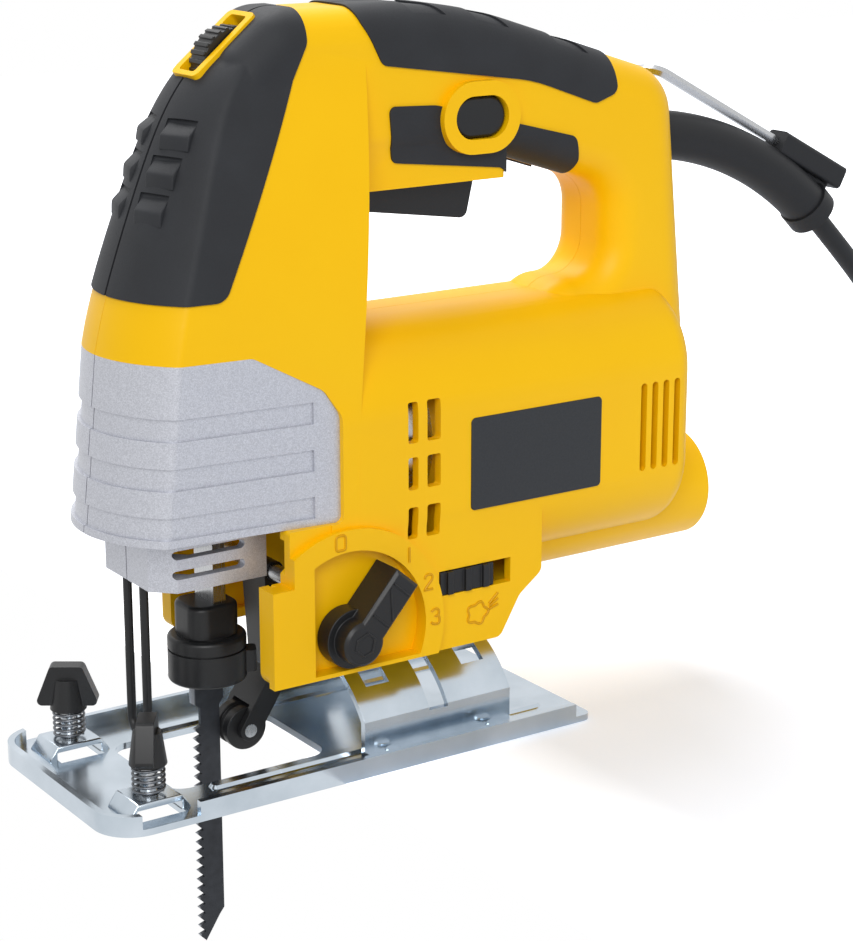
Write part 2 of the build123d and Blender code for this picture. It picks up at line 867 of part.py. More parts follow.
# Everything that is cut out of the housing's walls
with BuildPart() as openings:
    add(cover_region)
    add(trigger_slot)
    add(bezel_seat.part)
    # open front and bottom of the lower skirt, round the roller arm
    with BuildSketch(Plane.XY.offset(skirt_bottom - 3)):
        with Locations(((skirt_front + bulkhead_front) / 2 - 3, 0)):
            Rectangle(bulkhead_front - skirt_front + 6, 2 * pan_inside)
    extrude(amount=cover_skirt_bottom - skirt_bottom + 10)
    # saddle and its clamp screw
    add(tube_along_x(saddle_radius + saddle_play, saddle_front - 4, saddle_rear + 4, tilt_axis_height))
    with BuildSketch(Plane.XY):
        with Locations((clamp_x, 0)):
            Circle(clamp_screw_radius)
    extrude(amount=skirt_bottom + 11)
    # bearing and stator seats, dust tube and cord sleeve
    add(tube_along_x(bearing_radius, bulkhead_front, bulkhead_rear, motor_height))
    add(tube_along_x(stator_radius, stator_rib_x - 1, stator_rib_x + stator_rib + 1, motor_height))
    add(tube_along_x(bearing_radius, rear_bulkhead_front, rear_bulkhead_rear, motor_height))
    add(tube_along_x(tube_radius, tube_front, tube_rear + 10, tube_height))
    add(bar_from(sleeve_root, sleeve_way, -sleeve_hole_depth, sleeve_hole_depth, sleeve_radius))
    add(bar_from(sleeve_root, sleeve_way, -sleeve_hole_depth, -sleeve_seat, sleeve_flange_radius))
    # lock-on button, selector shaft and blower slot through the left wall
    with BuildSketch(button_plane.offset(handle_half_width - wall - 1)):
        add(oval(button_length + 2 * button_play, button_width + 2 * button_play))
    extrude(amount=wall + collar_ring_proud + 2)
    flange_room = 2 * (button_flange + button_play)
    with BuildSketch(button_plane.offset(handle_half_width - wall)):
        add(oval(button_length + flange_room, button_width + flange_room))
    extrude(amount=-button_pocket)
    with BuildSketch(Plane.XZ.offset(pan_inside - 2 * lever_shaft_end)):
        with Locations((selector_x, selector_height)):
            Circle(lever_shaft_radius + running_fit)
    extrude(amount=pan_floor + pan_depth)
    with BuildSketch(Plane.XZ.offset(pan_level)):
        with Locations((selector_x, selector_height)):
            Circle(pan_radius)
        with Locations((pan_front + pan_radius, pan_low + pan_radius)):
            Rectangle(2 * pan_radius, 2 * pan_radius, mode=Mode.INTERSECT)
    extrude(amount=2 * pan_depth)
    with BuildSketch(Plane.XZ.offset(skirt_half_width - wall - 1)):
        with Locations((slider_front + (slider_length + slider_travel) / 2, slider_height)):
            Rectangle(slider_length + slider_travel + 2 * slider_play, slider_width + 2 * slider_play)
    extrude(amount=wall + 4)
    # blind holes of the roller arm's pin, and screw wells from the right side
    add(pin_along_y(arm_pin_radius, arm_pivot_x, arm_pivot_height, arm_pin_half_length))
    with BuildSketch(Plane.XZ.offset(-screw_head_low)):
        with Locations(*screw_places):
            Circle(screw_head_radius)
    extrude(amount=-half_limit)
    with BuildSketch(Plane.XZ.offset(-screw_head_low)):
        with Locations(*screw_places):
            Circle(screw_radius)
    extrude(amount=screw_length)
    # nameplate recess, left side only
    with BuildSketch(Plane.XZ.offset(barrel_half_width + nameplate_proud - nameplate_thick)):
        with Locations(((nameplate_front + nameplate_rear) / 2, (nameplate_low + nameplate_high) / 2)):
            RectangleRounded(nameplate_rear - nameplate_front, nameplate_high - nameplate_low, 1.5)
    extrude(amount=nameplate_thick + 2)
    # cooling vents on both flanks
    for side in (-half_limit, barrel_half_width - 2 * wall):
        with BuildSketch(Plane.XZ.offset(side)):
            for x, width in vent_columns:
                for z, height in vent_rows:
                    with Locations((x, z)):
                        RectangleRounded(width, height, 0.8)
            for slot in range(rear_vents):
                with Locations((rear_vent_x + slot * rear_vent_pitch, (rear_vent_low + rear_vent_high) / 2)):
                    SlotOverall(rear_vent_high - rear_vent_low, rear_vent_width, rotation=90)
        extrude(amount=half_limit - barrel_half_width + 2 * wall)

with BuildPart() as casing:
    add(outer_form)
    add(cavity.part, mode=Mode.SUBTRACT)
    for skin in (front_grip, handle_grip_plain, side_panel_left.part, right_panel):
        add(skin, mode=Mode.SUBTRACT)
    # seat on the saddle, with a boss for the clamp screw
    with BuildSketch(Plane.XY.offset(skirt_bottom - 3.5)):
        with Locations(((seat_front + seat_rear) / 2, 0)):
            Rectangle(seat_rear - seat_front, 2 * seat_half_width)
    extrude(amount=4.5)
    with BuildSketch(Plane.XY.offset(skirt_bottom)):
        with Locations((clamp_x, 0)):
            Circle(clamp_screw_radius + 4)
    extrude(amount=14)
    # collar of the lock-on button, and the selector scale cut off at the skirt's front edge
    with BuildSketch(button_plane.offset(handle_half_width - wall)):
        add(oval(button_length + 2 * collar_ring_width, button_width + 2 * collar_ring_width))
    extrude(amount=wall + collar_ring_proud)
    with BuildSketch(Plane.XZ.offset(skirt_half_width - 0.5)):
        with Locations((selector_x, selector_height)):
            Circle(scale_radius)
        with Locations((skirt_front + scale_radius, skirt_bottom + scale_radius + 0.4)):
            Rectangle(2 * scale_radius, 2 * scale_radius, mode=Mode.INTERSECT)
    extrude(amount=scale_proud + 0.5)
    with BuildSketch(Plane.XZ.offset(pan_inside)):
        with Locations((selector_x, selector_height)):
            Circle(pan_radius + 2)
        with Locations((skirt_front + wall + scale_radius, skirt_bottom + scale_radius)):
            Rectangle(2 * scale_radius, 2 * scale_radius, mode=Mode.INTERSECT)
    extrude(amount=pan_floor)
    # bosses of the roller arm's pin, on both walls
    with BuildSketch(Plane.XZ.offset(pan_inside)):
        with Locations((arm_pivot_x, arm_pivot_height)):
            Circle(arm_boss_radius)
    extrude(amount=skirt_half_width - pan_inside - wall / 2)
    with BuildSketch(Plane.XZ.offset(-pan_inside)):
        with Locations((arm_pivot_x, arm_pivot_height)):
            Circle(arm_boss_radius)
    extrude(amount=-(skirt_half_width - pan_inside - wall / 2))
    add(openings.part, mode=Mode.SUBTRACT)

housing_left = half(casing.part, Keep.TOP)
housing_right = half(casing.part, Keep.BOTTOM)
keep(housing_left, "housing_left")
keep(housing_right, "housing_right")
keep(half(front_grip_open.part, Keep.TOP), "front_grip_left")
keep(half(front_grip_open.part, Keep.BOTTOM), "front_grip_right")
keep(half(handle_grip, Keep.TOP), "handle_grip_left")
keep(half(handle_grip, Keep.BOTTOM), "handle_grip_right")
keep(side_panel_left.part, "side_panel_left")
keep(right_panel, "side_panel_right")
keep(dial_bezel.part, "dial_bezel")
keep(speed_wheel.part, "speed_wheel")

# Trigger, with a flange that rests on the handle's inner face
with BuildPart() as trigger:
    add(side_block(trigger_corners, -trigger_half_width, trigger_half_width))
    with BuildSketch(Plane.XY.offset(ledge_bottom + wall + trigger_play)):
        with Locations(((trigger_front + trigger_rear) / 2, 0)):
            Rectangle(trigger_rear - trigger_front + 2 * trigger_flange, 2 * trigger_half_width)
    extrude(amount=trigger_rise - wall - trigger_play)
keep(trigger.part, "trigger")

with BuildPart() as lock_button:
    with BuildSketch(button_plane.offset(handle_half_width - wall - trigger_play)):
        add(oval(button_length, button_width))
    extrude(amount=wall + trigger_play + 1.6)
    with BuildSketch(button_plane.offset(handle_half_width - wall - trigger_play)):
        add(oval(button_length + 2 * button_flange, button_width + 2 * button_flange))
    extrude(amount=-button_flange)
    fillet(lock_button.faces().sort_by(Axis.Y)[0].edges(), 1.2)
keep(lock_button.part, "lock_button")

with BuildPart() as switch_body:
    with BuildSketch(Plane.XY.offset(switch_bottom)):
        with Locations(((switch_front + switch_rear) / 2, 0)):
            Rectangle(switch_rear - switch_front, 2 * (handle_half_width - wall))
    extrude(amount=switch_top - switch_bottom)
    chamfer(switch_body.edges().filter_by(Axis.Y), 1.5)
keep(switch_body.part, "switch_body")

# Orbit selector: a chunky pointer on a round hub, its shaft through the housing wall
lever_angle = 49.0
lever_reach = 22.8
lever_bar_width = 9.4
lever_head_radius = 6.6
lever_hub_radius = 8.8
lever_hub_thick = 6.0
lever_height = 12.0
lever_chamfer = 1.0
lever_gap = 0.4
lever_plane = Plane(
    origin=(selector_x, 0, selector_height),
    x_dir=(math.cos(math.radians(lever_angle)), 0, math.sin(math.radians(lever_angle))),
    z_dir=(0, -1, 0),
).offset(pan_level + lever_gap)
with BuildPart() as selector_lever:
    with BuildSketch(lever_plane):
        Circle(lever_head_radius)
        with Locations((lever_reach / 2, 0)):
            Rectangle(lever_reach, lever_bar_width)
    extrude(amount=lever_height)
    chamfer(selector_lever.faces().sort_by(Axis.Y)[0].edges(), lever_chamfer)
    with BuildSketch(lever_plane):
        Circle(lever_hub_radius)
    extrude(amount=lever_hub_thick)
    with BuildSketch(lever_plane):
        Circle(lever_shaft_radius)
    extrude(amount=-(lever_gap + pan_floor + lever_shaft_end))
keep(selector_lever.part, "selector_lever")

with BuildPart() as blower_slider:
    slider_mid = slider_front + slider_length / 2
    with BuildSketch(Plane.XZ.offset(skirt_half_width - wall - slider_play)):
        with Locations((slider_mid, slider_height)):
            Rectangle(slider_length, slider_width)
    extrude(amount=wall + slider_play + slider_proud)
    with BuildSketch(Plane.XZ.offset(skirt_half_width + slider_proud)):
        with Locations((slider_mid, slider_height)):
            with GridLocations(slider_length / 3, 0, 3, 1):
                Rectangle(2.2, slider_width)
    extrude(amount=slider_rib)
    with BuildSketch(Plane.XZ.offset(skirt_half_width - wall - slider_play)):
        with Locations((slider_mid, slider_height)):
            Rectangle(slider_length + 3, slider_width + 3)
    extrude(amount=-1.8)
keep(blower_slider.part, "blower_slider")

with BuildPart() as nameplate:
    with BuildSketch(Plane.XZ.offset(barrel_half_width + nameplate_proud - nameplate_thick)):
        with Locations(((nameplate_front + nameplate_rear) / 2, (nameplate_low + nameplate_high) / 2)):
            RectangleRounded(nameplate_rear - nameplate_front, nameplate_high - nameplate_low, 1.5)
    extrude(amount=nameplate_thick)
keep(nameplate.part, "nameplate")

# Dust tube under the motor, open at the rear for a vacuum hose
with BuildPart() as dust_tube:
    add(tube_along_x(tube_radius, tube_front, tube_rear, tube_height))
    fillet(dust_tube.faces().sort_by(Axis.X)[-1].edges(), 1.2)
    add(tube_along_x(tube_bore, tube_front, tube_rear, tube_height), mode=Mode.SUBTRACT)
keep(dust_tube.part, "dust_tube")

# Housing screws, in wells from the right side
with BuildPart() as housing_screws:
    with BuildSketch(Plane.XZ.offset(-screw_head_low)):
        with Locations(*screw_places):
            Circle(screw_radius)
    extrude(amount=screw_length)
    with BuildSketch(Plane.XZ.offset(-screw_head_low)):
        with Locations(*screw_places):
            Circle(screw_head_radius)
    extrude(amount=-screw_head_height)
    with BuildSketch(Plane.XZ.offset(-screw_head_low - screw_head_height)):
        with Locations(*screw_places):
            Rectangle(3.6, 0.9)
            Rectangle(0.9, 3.6)
    extrude(amount=1.6, mode=Mode.SUBTRACT)
keep(housing_screws.part, "housing_screws")

# Base plate: sheet with a turned-up rim, a blade window, beads and two fence bridges
bridge_half_width = fence_bar_width / 2 + 0.4


def plate_outline(inset):
    """Plan of the base plate, with large front corners."""
    with BuildSketch() as plan:
        with Locations(((plate_front + plate_rear) / 2, 0)):
            Rectangle(plate_rear - plate_front - 2 * inset, 2 * (plate_half_width - inset))
        fillet(plan.vertices().group_by(Axis.X)[0], plate_corner - inset)
        fillet(plan.vertices().group_by(Axis.X)[-1], 3 - inset * 0.5)
    return plan.sketch


with BuildPart() as base_plate:
    with BuildSketch():
        add(plate_outline(0))
        with Locations(((blade_window_front + blade_window_rear) / 2, 0)):
            RectangleRounded(
                blade_window_rear - blade_window_front,
                2 * blade_window_half_width,
                blade_window_corner,
                mode=Mode.SUBTRACT,
            )
        with Locations((clamp_x, 0)):
            Circle(8, mode=Mode.SUBTRACT)
        with Locations((fence_x, fence_side), (fence_x, -fence_side)):
            Rectangle(2 * bridge_half_width, fence_bridge_length + 4, mode=Mode.SUBTRACT)
        with Locations((saddle_front + rivet_inset, 0), (saddle_rear - rivet_inset, 0)):
            with GridLocations(1, 2 * (saddle_leg_side + saddle_foot_width / 2), 1, 2):
                Circle(rivet_radius, mode=Mode.SUBTRACT)
    extrude(amount=plate_sheet)
    with BuildSketch(Plane.XY.offset(plate_sheet)):
        add(plate_outline(0))
        add(plate_outline(plate_sheet), mode=Mode.SUBTRACT)
        with Locations((plate_rear, 0)):
            Rectangle(12, 4 * plate_half_width, mode=Mode.SUBTRACT)
        with Locations((fence_x, 0)):
            Rectangle(2 * bridge_half_width + 4, 4 * plate_half_width, mode=Mode.SUBTRACT)
    extrude(amount=plate_rim_height - plate_sheet)
    with BuildSketch(Plane.XY.offset(plate_sheet)):
        with Locations(((bead_front + bead_rear) / 2, bead_side), ((bead_front + bead_rear) / 2, -bead_side)):
            SlotOverall(bead_rear - bead_front, bead_width)
    extrude(amount=bead_rise, taper=40)
    with BuildSketch(Plane.XZ.offset(fence_side - fence_bridge_length / 2)):
        with Locations((fence_x, 0)):
            with BuildLine():
                Polyline(
                    (-bridge_half_width - bridge_slope, plate_sheet * 0.5),
                    (-bridge_half_width - bridge_slope, plate_sheet),
                    (-bridge_half_width, bridge_rise + plate_sheet),
                    (bridge_half_width, bridge_rise + plate_sheet),
                    (bridge_half_width + bridge_slope, plate_sheet),
                    (bridge_half_width + bridge_slope, plate_sheet * 0.5),
                    (bridge_half_width, plate_sheet * 0.5),
                    (bridge_half_width, bridge_rise),
                    (-bridge_half_width, bridge_rise),
                    (-bridge_half_width, plate_sheet * 0.5),
                    close=True,
                )
            make_face()
    extrude(amount=fence_bridge_length)
    mirror(about=Plane.XZ)
    with BuildSketch(Plane.XY):
        with Locations((fence_x, fence_side), (fence_x, -fence_side)):
            Circle(fence_screw_radius + running_fit)
    extrude(amount=plate_rim_height + plate_sheet, mode=Mode.SUBTRACT)
keep(base_plate.part, "base_plate")

# Saddle: a bent arch the housing tilts on, riveted to the base plate
saddle_foot_top = plate_sheet + saddle_sheet


def arch_height(side, radius):
    """Height of the saddle's arch of that radius at a distance from the middle."""
    return tilt_axis_height + math.sqrt(radius**2 - side**2)


with BuildPart() as saddle_bracket:
    leg = saddle_leg_side
    leg_inner = saddle_leg_side - saddle_sheet
    foot = saddle_leg_side + saddle_foot_width
    inner_radius = saddle_radius - saddle_sheet
    with BuildSketch(Plane.YZ.offset(saddle_front)):
        with BuildLine():
            Polyline(
                (-leg, arch_height(leg, saddle_radius)),
                (-leg, saddle_foot_top),
                (-foot, saddle_foot_top),
                (-foot, plate_sheet),
                (-leg_inner, plate_sheet),
                (-leg_inner, arch_height(leg_inner, inner_radius)),
            )
            ThreePointArc(
                (-leg_inner, arch_height(leg_inner, inner_radius)),
                (0, tilt_axis_height + inner_radius),
                (leg_inner, arch_height(leg_inner, inner_radius)),
            )
            Polyline(
                (leg_inner, arch_height(leg_inner, inner_radius)),
                (leg_inner, plate_sheet),
                (foot, plate_sheet),
                (foot, saddle_foot_top),
                (leg, saddle_foot_top),
                (leg, arch_height(leg, saddle_radius)),
            )
            ThreePointArc(
                (leg, arch_height(leg, saddle_radius)),
                (0, tilt_axis_height + saddle_radius),
                (-leg, arch_height(leg, saddle_radius)),
            )
        make_face()
    extrude(amount=saddle_rear - saddle_front)
    with BuildSketch(Plane.XY.offset(saddle_foot_top + 8)):
        with Locations((clamp_x, 0)):
            Rectangle(saddle_slot_width, 4 * leg)
        with Locations((clamp_x - 17, 0), (clamp_x + 17, 0)):
            with GridLocations(1, 40, 1, 2):
                Rectangle(8, 6)
    extrude(amount=saddle_radius, mode=Mode.SUBTRACT)
    with BuildSketch():
        with Locations((saddle_front + rivet_inset, 0), (saddle_rear - rivet_inset, 0)):
            with GridLocations(1, 2 * (saddle_leg_side + saddle_foot_width / 2), 1, 2):
                Circle(rivet_radius)
    extrude(amount=saddle_foot_top + 1, mode=Mode.SUBTRACT)
keep(saddle_bracket.part, "saddle_bracket")

with BuildPart() as saddle_rivets:
    rivet_places = [
        (x, side * (saddle_leg_side + saddle_foot_width / 2))
        for x in (saddle_front + rivet_inset, saddle_rear - rivet_inset)
        for side in (-1, 1)
    ]
    with BuildSketch(Plane.XY.offset(0.1)):
        with Locations(*rivet_places):
            Circle(rivet_radius)
    extrude(amount=saddle_foot_top - 0.1)
    with BuildSketch(Plane.XY.offset(saddle_foot_top)):
        with Locations(*rivet_places):
            Circle(rivet_radius + rivet_head)
    extrude(amount=rivet_head, taper=35)
keep(saddle_rivets.part, "saddle_rivets")

# Bevel clamp: a curved plate under the arch, drawn up by a screw into the housing
clamp_plate_thick = 3.0
clamp_plate_half_width = 4.8
clamp_head_radius = 5.0
clamp_head_height = 4.0
clamp_outer_radius = saddle_radius - saddle_sheet - saddle_play
clamp_plate_bottom = arch_height(clamp_plate_half_width, clamp_outer_radius) - clamp_plate_thick
with BuildPart() as bevel_clamp_plate:
    with BuildSketch(Plane.YZ.offset(clamp_x - 10)):
        with BuildLine():
            Polyline(
                (clamp_plate_half_width, arch_height(clamp_plate_half_width, clamp_outer_radius)),
                (clamp_plate_half_width, clamp_plate_bottom),
                (-clamp_plate_half_width, clamp_plate_bottom),
                (-clamp_plate_half_width, arch_height(clamp_plate_half_width, clamp_outer_radius)),
            )
            ThreePointArc(
                (-clamp_plate_half_width, arch_height(clamp_plate_half_width, clamp_outer_radius)),
                (0, tilt_axis_height + clamp_outer_radius),
                (clamp_plate_half_width, arch_height(clamp_plate_half_width, clamp_outer_radius)),
            )
        make_face()
    extrude(amount=20)
    with BuildSketch(Plane.XY):
        with Locations((clamp_x, 0)):
            Circle(clamp_screw_radius)
    extrude(amount=2 * saddle_radius, mode=Mode.SUBTRACT)
keep(bevel_clamp_plate.part, "bevel_clamp_plate")

with BuildPart() as bevel_clamp_screw:
    with BuildSketch(Plane.XY.offset(clamp_plate_bottom)):
        with Locations((clamp_x, 0)):
            Circle(clamp_screw_radius)
    extrude(amount=skirt_bottom + 10 - clamp_plate_bottom)
    with BuildSketch(Plane.XY.offset(clamp_plate_bottom - clamp_head_height)):
        with Locations((clamp_x, 0)):
            Circle(clamp_head_radius)
            RegularPolygon(2.9, 6, mode=Mode.SUBTRACT)
    extrude(amount=clamp_head_height)
    with BuildSketch(Plane.XY.offset(clamp_plate_bottom - 1.2)):
        with Locations((clamp_x, 0)):
            Circle(clamp_head_radius)
    extrude(amount=1.2)
keep(bevel_clamp_screw.part, "bevel_clamp_screw")


def biarc(start, start_way, end, end_way):
    """Two tangent arcs from one point and direction to another."""
    gap = end - start
    ways = start_way + end_way
    bend = 2 * (1 - start_way.dot(end_way))
    along = gap.dot(ways)
    reach = (-along + math.sqrt(along**2 + bend * gap.dot(gap))) / bend
    middle = (start + start_way * reach + end - end_way * reach) / 2
    middle_way = (end - end_way * reach - start - start_way * reach).normalized()
    TangentArc(start, middle, tangent=start_way)
    TangentArc(middle, end, tangent=middle_way)


def least_gap(edges, radius, apart):
    """Least gap of a tube to itself, measured on points that are well apart along it."""
    points = []
    for edge in edges:
        for step in range(12):
            points.append(edge @ (step / 12))
    ways = [0.0]
    for first, second in zip(points, points[1:]):
        ways.append(ways[-1] + (second - first).length)
    least = math.inf
    for i in range(len(points)):
        for j in range(i + 1, len(points)):
            if ways[j] - ways[i] > apart:
                least = min(least, (points[i] - points[j]).length - 2 * radius)
    return round(least, 2)


# Fence screws with wing heads, each over an open compression spring
bridge_top = bridge_rise + plate_sheet
wing_thick = 5.0
wing_angles = {"left": 56.0, "right": -34.0}
for side, sign in (("left", -1), ("right", 1)):
    place = (fence_x, sign * fence_side)
    with BuildPart() as fence_screw:
        with BuildSketch(Plane.XY.offset(bridge_rise)):
            with Locations(place):
                Circle(fence_screw_radius)
        extrude(amount=fence_knob_bottom + 2 - bridge_rise)
        with BuildSketch(Plane.XY.offset(fence_knob_bottom)):
            with Locations(place):
                Circle(5.4)
        extrude(amount=fence_knob_height - 4, taper=8)
        wing_plane = Plane(
            origin=(place[0], place[1], fence_knob_bottom + 1.5),
            x_dir=(math.cos(math.radians(wing_angles[side])), math.sin(math.radians(wing_angles[side])), 0),
            z_dir=(math.sin(math.radians(wing_angles[side])), -math.cos(math.radians(wing_angles[side])), 0),
        )
        with BuildSketch(wing_plane):
            with BuildLine():
                FilletPolyline(
                    (-fence_wing_half_span, 0),
                    (-fence_wing_half_span * 0.5, fence_knob_height - 1.5),
                    (fence_wing_half_span * 0.5, fence_knob_height - 1.5),
                    (fence_wing_half_span, 0),
                    radius=[1.5, 1.5, 1.5, 1.5],
                    close=True,
                )
            make_face()
        extrude(amount=wing_thick / 2, both=True)
    keep(fence_screw.part, f"fence_screw_{side}")

    spring_low = bridge_top + fence_spring_wire + 0.02
    spring_high = fence_knob_bottom - fence_spring_wire - 0.02
    quarter_count = 4 * fence_spring_turns
    spring_points = []
    spring_ways = []
    for step in range(quarter_count + 1):
        angle = step * math.pi / 2
        share = step / quarter_count
        height = spring_low + share * (spring_high - spring_low)
        climb = (spring_high - spring_low) / (fence_spring_turns * 2 * math.pi * fence_spring_radius)
        spring_points.append(
            Vector(
                place[0] + fence_spring_radius * math.cos(angle),
                place[1] + fence_spring_radius * math.sin(angle),
                height,
            )
        )
        spring_ways.append(Vector(-math.sin(angle), math.cos(angle), climb).normalized())
    with BuildPart() as fence_spring:
        with BuildLine() as spring_path:
            for step in range(quarter_count):
                biarc(
                    spring_points[step], spring_ways[step], spring_points[step + 1], spring_ways[step + 1]
                )
        with BuildSketch(Plane(spring_points[0], z_dir=spring_ways[0])):
            Circle(fence_spring_wire)
        sweep()
    spring_gap = least_gap(spring_path.line.edges(), fence_spring_wire, math.pi * fence_spring_radius)
    print(f"fence spring {side}: least gap", spring_gap)
    keep(fence_spring.part, f"fence_spring_{side}")

# Plunger: a flat bar with a cross yoke, guided by two bushes in the gearbox bracket
bar_front = plunger_x - plunger_thick / 2
bar_rear = plunger_x + plunger_thick / 2
with BuildPart() as plunger:
    with BuildSketch(Plane.XY.offset(plunger_bottom)):
        with Locations((plunger_x, 0)):
            Rectangle(plunger_thick, plunger_width)
    extrude(amount=plunger_top - plunger_bottom)
    with BuildSketch(Plane.YZ.offset(bar_rear)):
        with Locations((0, pin_height)):
            RectangleRounded(2 * yoke_half_width, yoke_height, 3)
            SlotOverall(2 * yoke_half_width - 4, 2 * pin_radius + 2 * pin_play, mode=Mode.SUBTRACT)
    extrude(amount=yoke_depth)
keep(plunger.part, "plunger")

with BuildPart() as gearbox_bracket:
    with BuildSketch(Plane.YZ.offset(bracket_front)):
        with Locations((0, (bracket_low + bracket_high) / 2)):
            Rectangle(2 * bracket_half_width, bracket_high - bracket_low)
        with Locations((0, motor_height)):
            Circle(bracket_shaft_hole, mode=Mode.SUBTRACT)
        with Locations((0, gear_height)):
            Circle(gear_axle_radius, mode=Mode.SUBTRACT)
    extrude(amount=bulkhead_front - bracket_front)
    for low in (bracket_low, bracket_high - arm_plate_height):
        with BuildSketch(Plane.XY.offset(low)):
            with Locations(((bracket_front + arm_plate_front) / 2, 0)):
                Rectangle(bracket_front - arm_plate_front, 2 * arm_plate_half_width)
            with Locations((plunger_x, 0)):
                Rectangle(bush_length, bush_width, mode=Mode.SUBTRACT)
        extrude(amount=arm_plate_height)
keep(gearbox_bracket.part, "gearbox_bracket")

with BuildPart() as plunger_bushes:
    for low in (bracket_low, bracket_high - arm_plate_height):
        with BuildSketch(Plane.XY.offset(low)):
            with Locations((plunger_x, 0)):
                Rectangle(bush_length, bush_width)
                Rectangle(
                    plunger_thick + 2 * running_fit, plunger_width + 2 * running_fit, mode=Mode.SUBTRACT
                )
        extrude(amount=arm_plate_height)
keep(plunger_bushes.part, "plunger_bushes")


def gear_outline(teeth, first_angle):
    """Plain straight-sided gear teeth; the first tooth points along first_angle in degrees."""
    pitch = 2 * math.pi / teeth
    root = gear_module * (teeth / 2 - 1.25)
    crown = gear_module * (teeth / 2 + 0.9)
    points = []
    for tooth in range(teeth):
        middle = math.radians(first_angle) + tooth * pitch
        for radius, turn in (
            (root, -tooth_root_share),
            (crown, -tooth_crown_share),
            (crown, tooth_crown_share),
            (root, tooth_root_share),
        ):
            angle = middle + turn * pitch
            points.append((radius * math.cos(angle), radius * math.sin(angle)))
    with BuildSketch() as outline:
        with BuildLine():
            Polyline(*points, close=True)
        make_face()
    return outline.sketch


# Drive gear with its crank pin, its counterweight and axle
with BuildPart() as drive_gear:
    with BuildSketch(Plane.YZ.offset(gear_front)):
        with Locations((0, gear_height)):
            add(gear_outline(gear_teeth, -90))
            Circle(gear_axle_radius + running_fit, mode=Mode.SUBTRACT)
    extrude(amount=gear_face)
    with BuildSketch(Plane.YZ.offset(gear_front)):
        with Locations((0, pin_height)):
            Circle(pin_radius)
    extrude(amount=bar_rear + yoke_depth + pin_play - gear_front)
keep(drive_gear.part, "drive_gear")

with BuildPart() as counterweight:
    with BuildSketch(Plane.YZ.offset(gear_front - counterweight_thick)):
        with Locations((0, gear_height)):
            Circle(counterweight_radius)
            Circle(gear_axle_radius + 1, mode=Mode.SUBTRACT)
            with Locations((0, -counterweight_radius)):
                Rectangle(2 * counterweight_radius, 2 * counterweight_radius, mode=Mode.SUBTRACT)
    extrude(amount=counterweight_thick)
keep(counterweight.part, "counterweight")
keep(tube_along_x(gear_axle_radius, gear_front - 1.5, bulkhead_front, gear_height), "gear_axle")


def ring_along_x(radius, bore, front, rear, height):
    """A ring about an axis along X."""
    with BuildPart() as ring:
        with BuildSketch(Plane.YZ.offset(front)):
            with Locations((0, height)):
                Circle(radius)
                Circle(bore, mode=Mode.SUBTRACT)
        extrude(amount=rear - front)
    return ring.part


# Motor: shaft, pinion, armature, windings, commutator, fan, stator, brushes and bearings
with BuildPart() as motor_shaft:
    add(tube_along_x(shaft_radius, pinion_rear, shaft_rear, motor_height))
    add(tube_along_x(pinion_bore, pinion_front, pinion_rear, motor_height))
keep(motor_shaft.part, "motor_shaft")

with BuildPart() as pinion:
    with BuildSketch(Plane.YZ.offset(pinion_front)):
        with Locations((0, motor_height)):
            add(gear_outline(pinion_teeth, 90 + 180 / pinion_teeth))
            Circle(pinion_bore, mode=Mode.SUBTRACT)
    extrude(amount=pinion_rear - pinion_front)
keep(pinion.part, "pinion")

with BuildPart() as armature_core:
    with BuildSketch(Plane.YZ.offset(armature_front)):
        with Locations((0, motor_height)):
            Circle(armature_radius)
            Circle(shaft_radius, mode=Mode.SUBTRACT)
            with PolarLocations(armature_radius - 2, armature_slots):
                Rectangle(6, 1.6, mode=Mode.SUBTRACT)
    extrude(amount=armature_rear - armature_front)
keep(armature_core.part, "armature_core")

with BuildPart() as armature_windings:
    for front, rear in ((armature_front - 3, armature_front), (armature_rear, armature_rear + 6)):
        add(ring_along_x(armature_radius - 2, shaft_radius, front, rear, motor_height))
    fillet(armature_windings.edges().filter_by(GeomType.CIRCLE).sort_by(SortBy.RADIUS)[-4:], 1.2)
keep(armature_windings.part, "armature_windings")

with BuildPart() as commutator:
    with BuildSketch(Plane.YZ.offset(commutator_front)):
        with Locations((0, motor_height)):
            Circle(commutator_radius)
            Circle(shaft_radius, mode=Mode.SUBTRACT)
    extrude(amount=commutator_length)
    with BuildSketch(Plane.YZ.offset(commutator_front)):
        with Locations((0, motor_height)):
            with PolarLocations(commutator_radius, 2 * armature_slots):
                Rectangle(1.2, 0.5)
    extrude(amount=commutator_length, mode=Mode.SUBTRACT)
keep(commutator.part, "commutator")

with BuildPart() as fan:
    add(ring_along_x(fan_radius, shaft_radius, fan_front, fan_front + fan_disc, motor_height))
    add(ring_along_x(fan_hub_radius, shaft_radius, fan_front, fan_rear, motor_height))
    with BuildSketch(Plane.YZ.offset(fan_front)):
        with Locations((0, motor_height)):
            with PolarLocations((fan_radius + fan_hub_radius + 3) / 2, fan_blades):
                Rectangle(fan_radius - fan_hub_radius - 3, 1.2)
    extrude(amount=fan_rear - fan_front)
keep(fan.part, "fan")

keep(ring_along_x(stator_radius, armature_radius + air_gap, stator_front, stator_rear, motor_height), "stator")
for name, x in (("front_bearing", front_bearing_x), ("rear_bearing", rear_bearing_x)):
    keep(ring_along_x(bearing_radius, shaft_radius + running_fit, x, x + bearing_width, motor_height), name)

with BuildPart() as brush_holders:
    for side in (commutator_radius + brush_gap, -barrel_half_width + wall):
        with BuildSketch(Plane.XZ.offset(-side)):
            with Locations((commutator_front + commutator_length / 2, motor_height)):
                Rectangle(brush_size, brush_size)
        extrude(amount=-(barrel_half_width - wall - commutator_radius - brush_gap))
keep(brush_holders.part, "brush_holders")

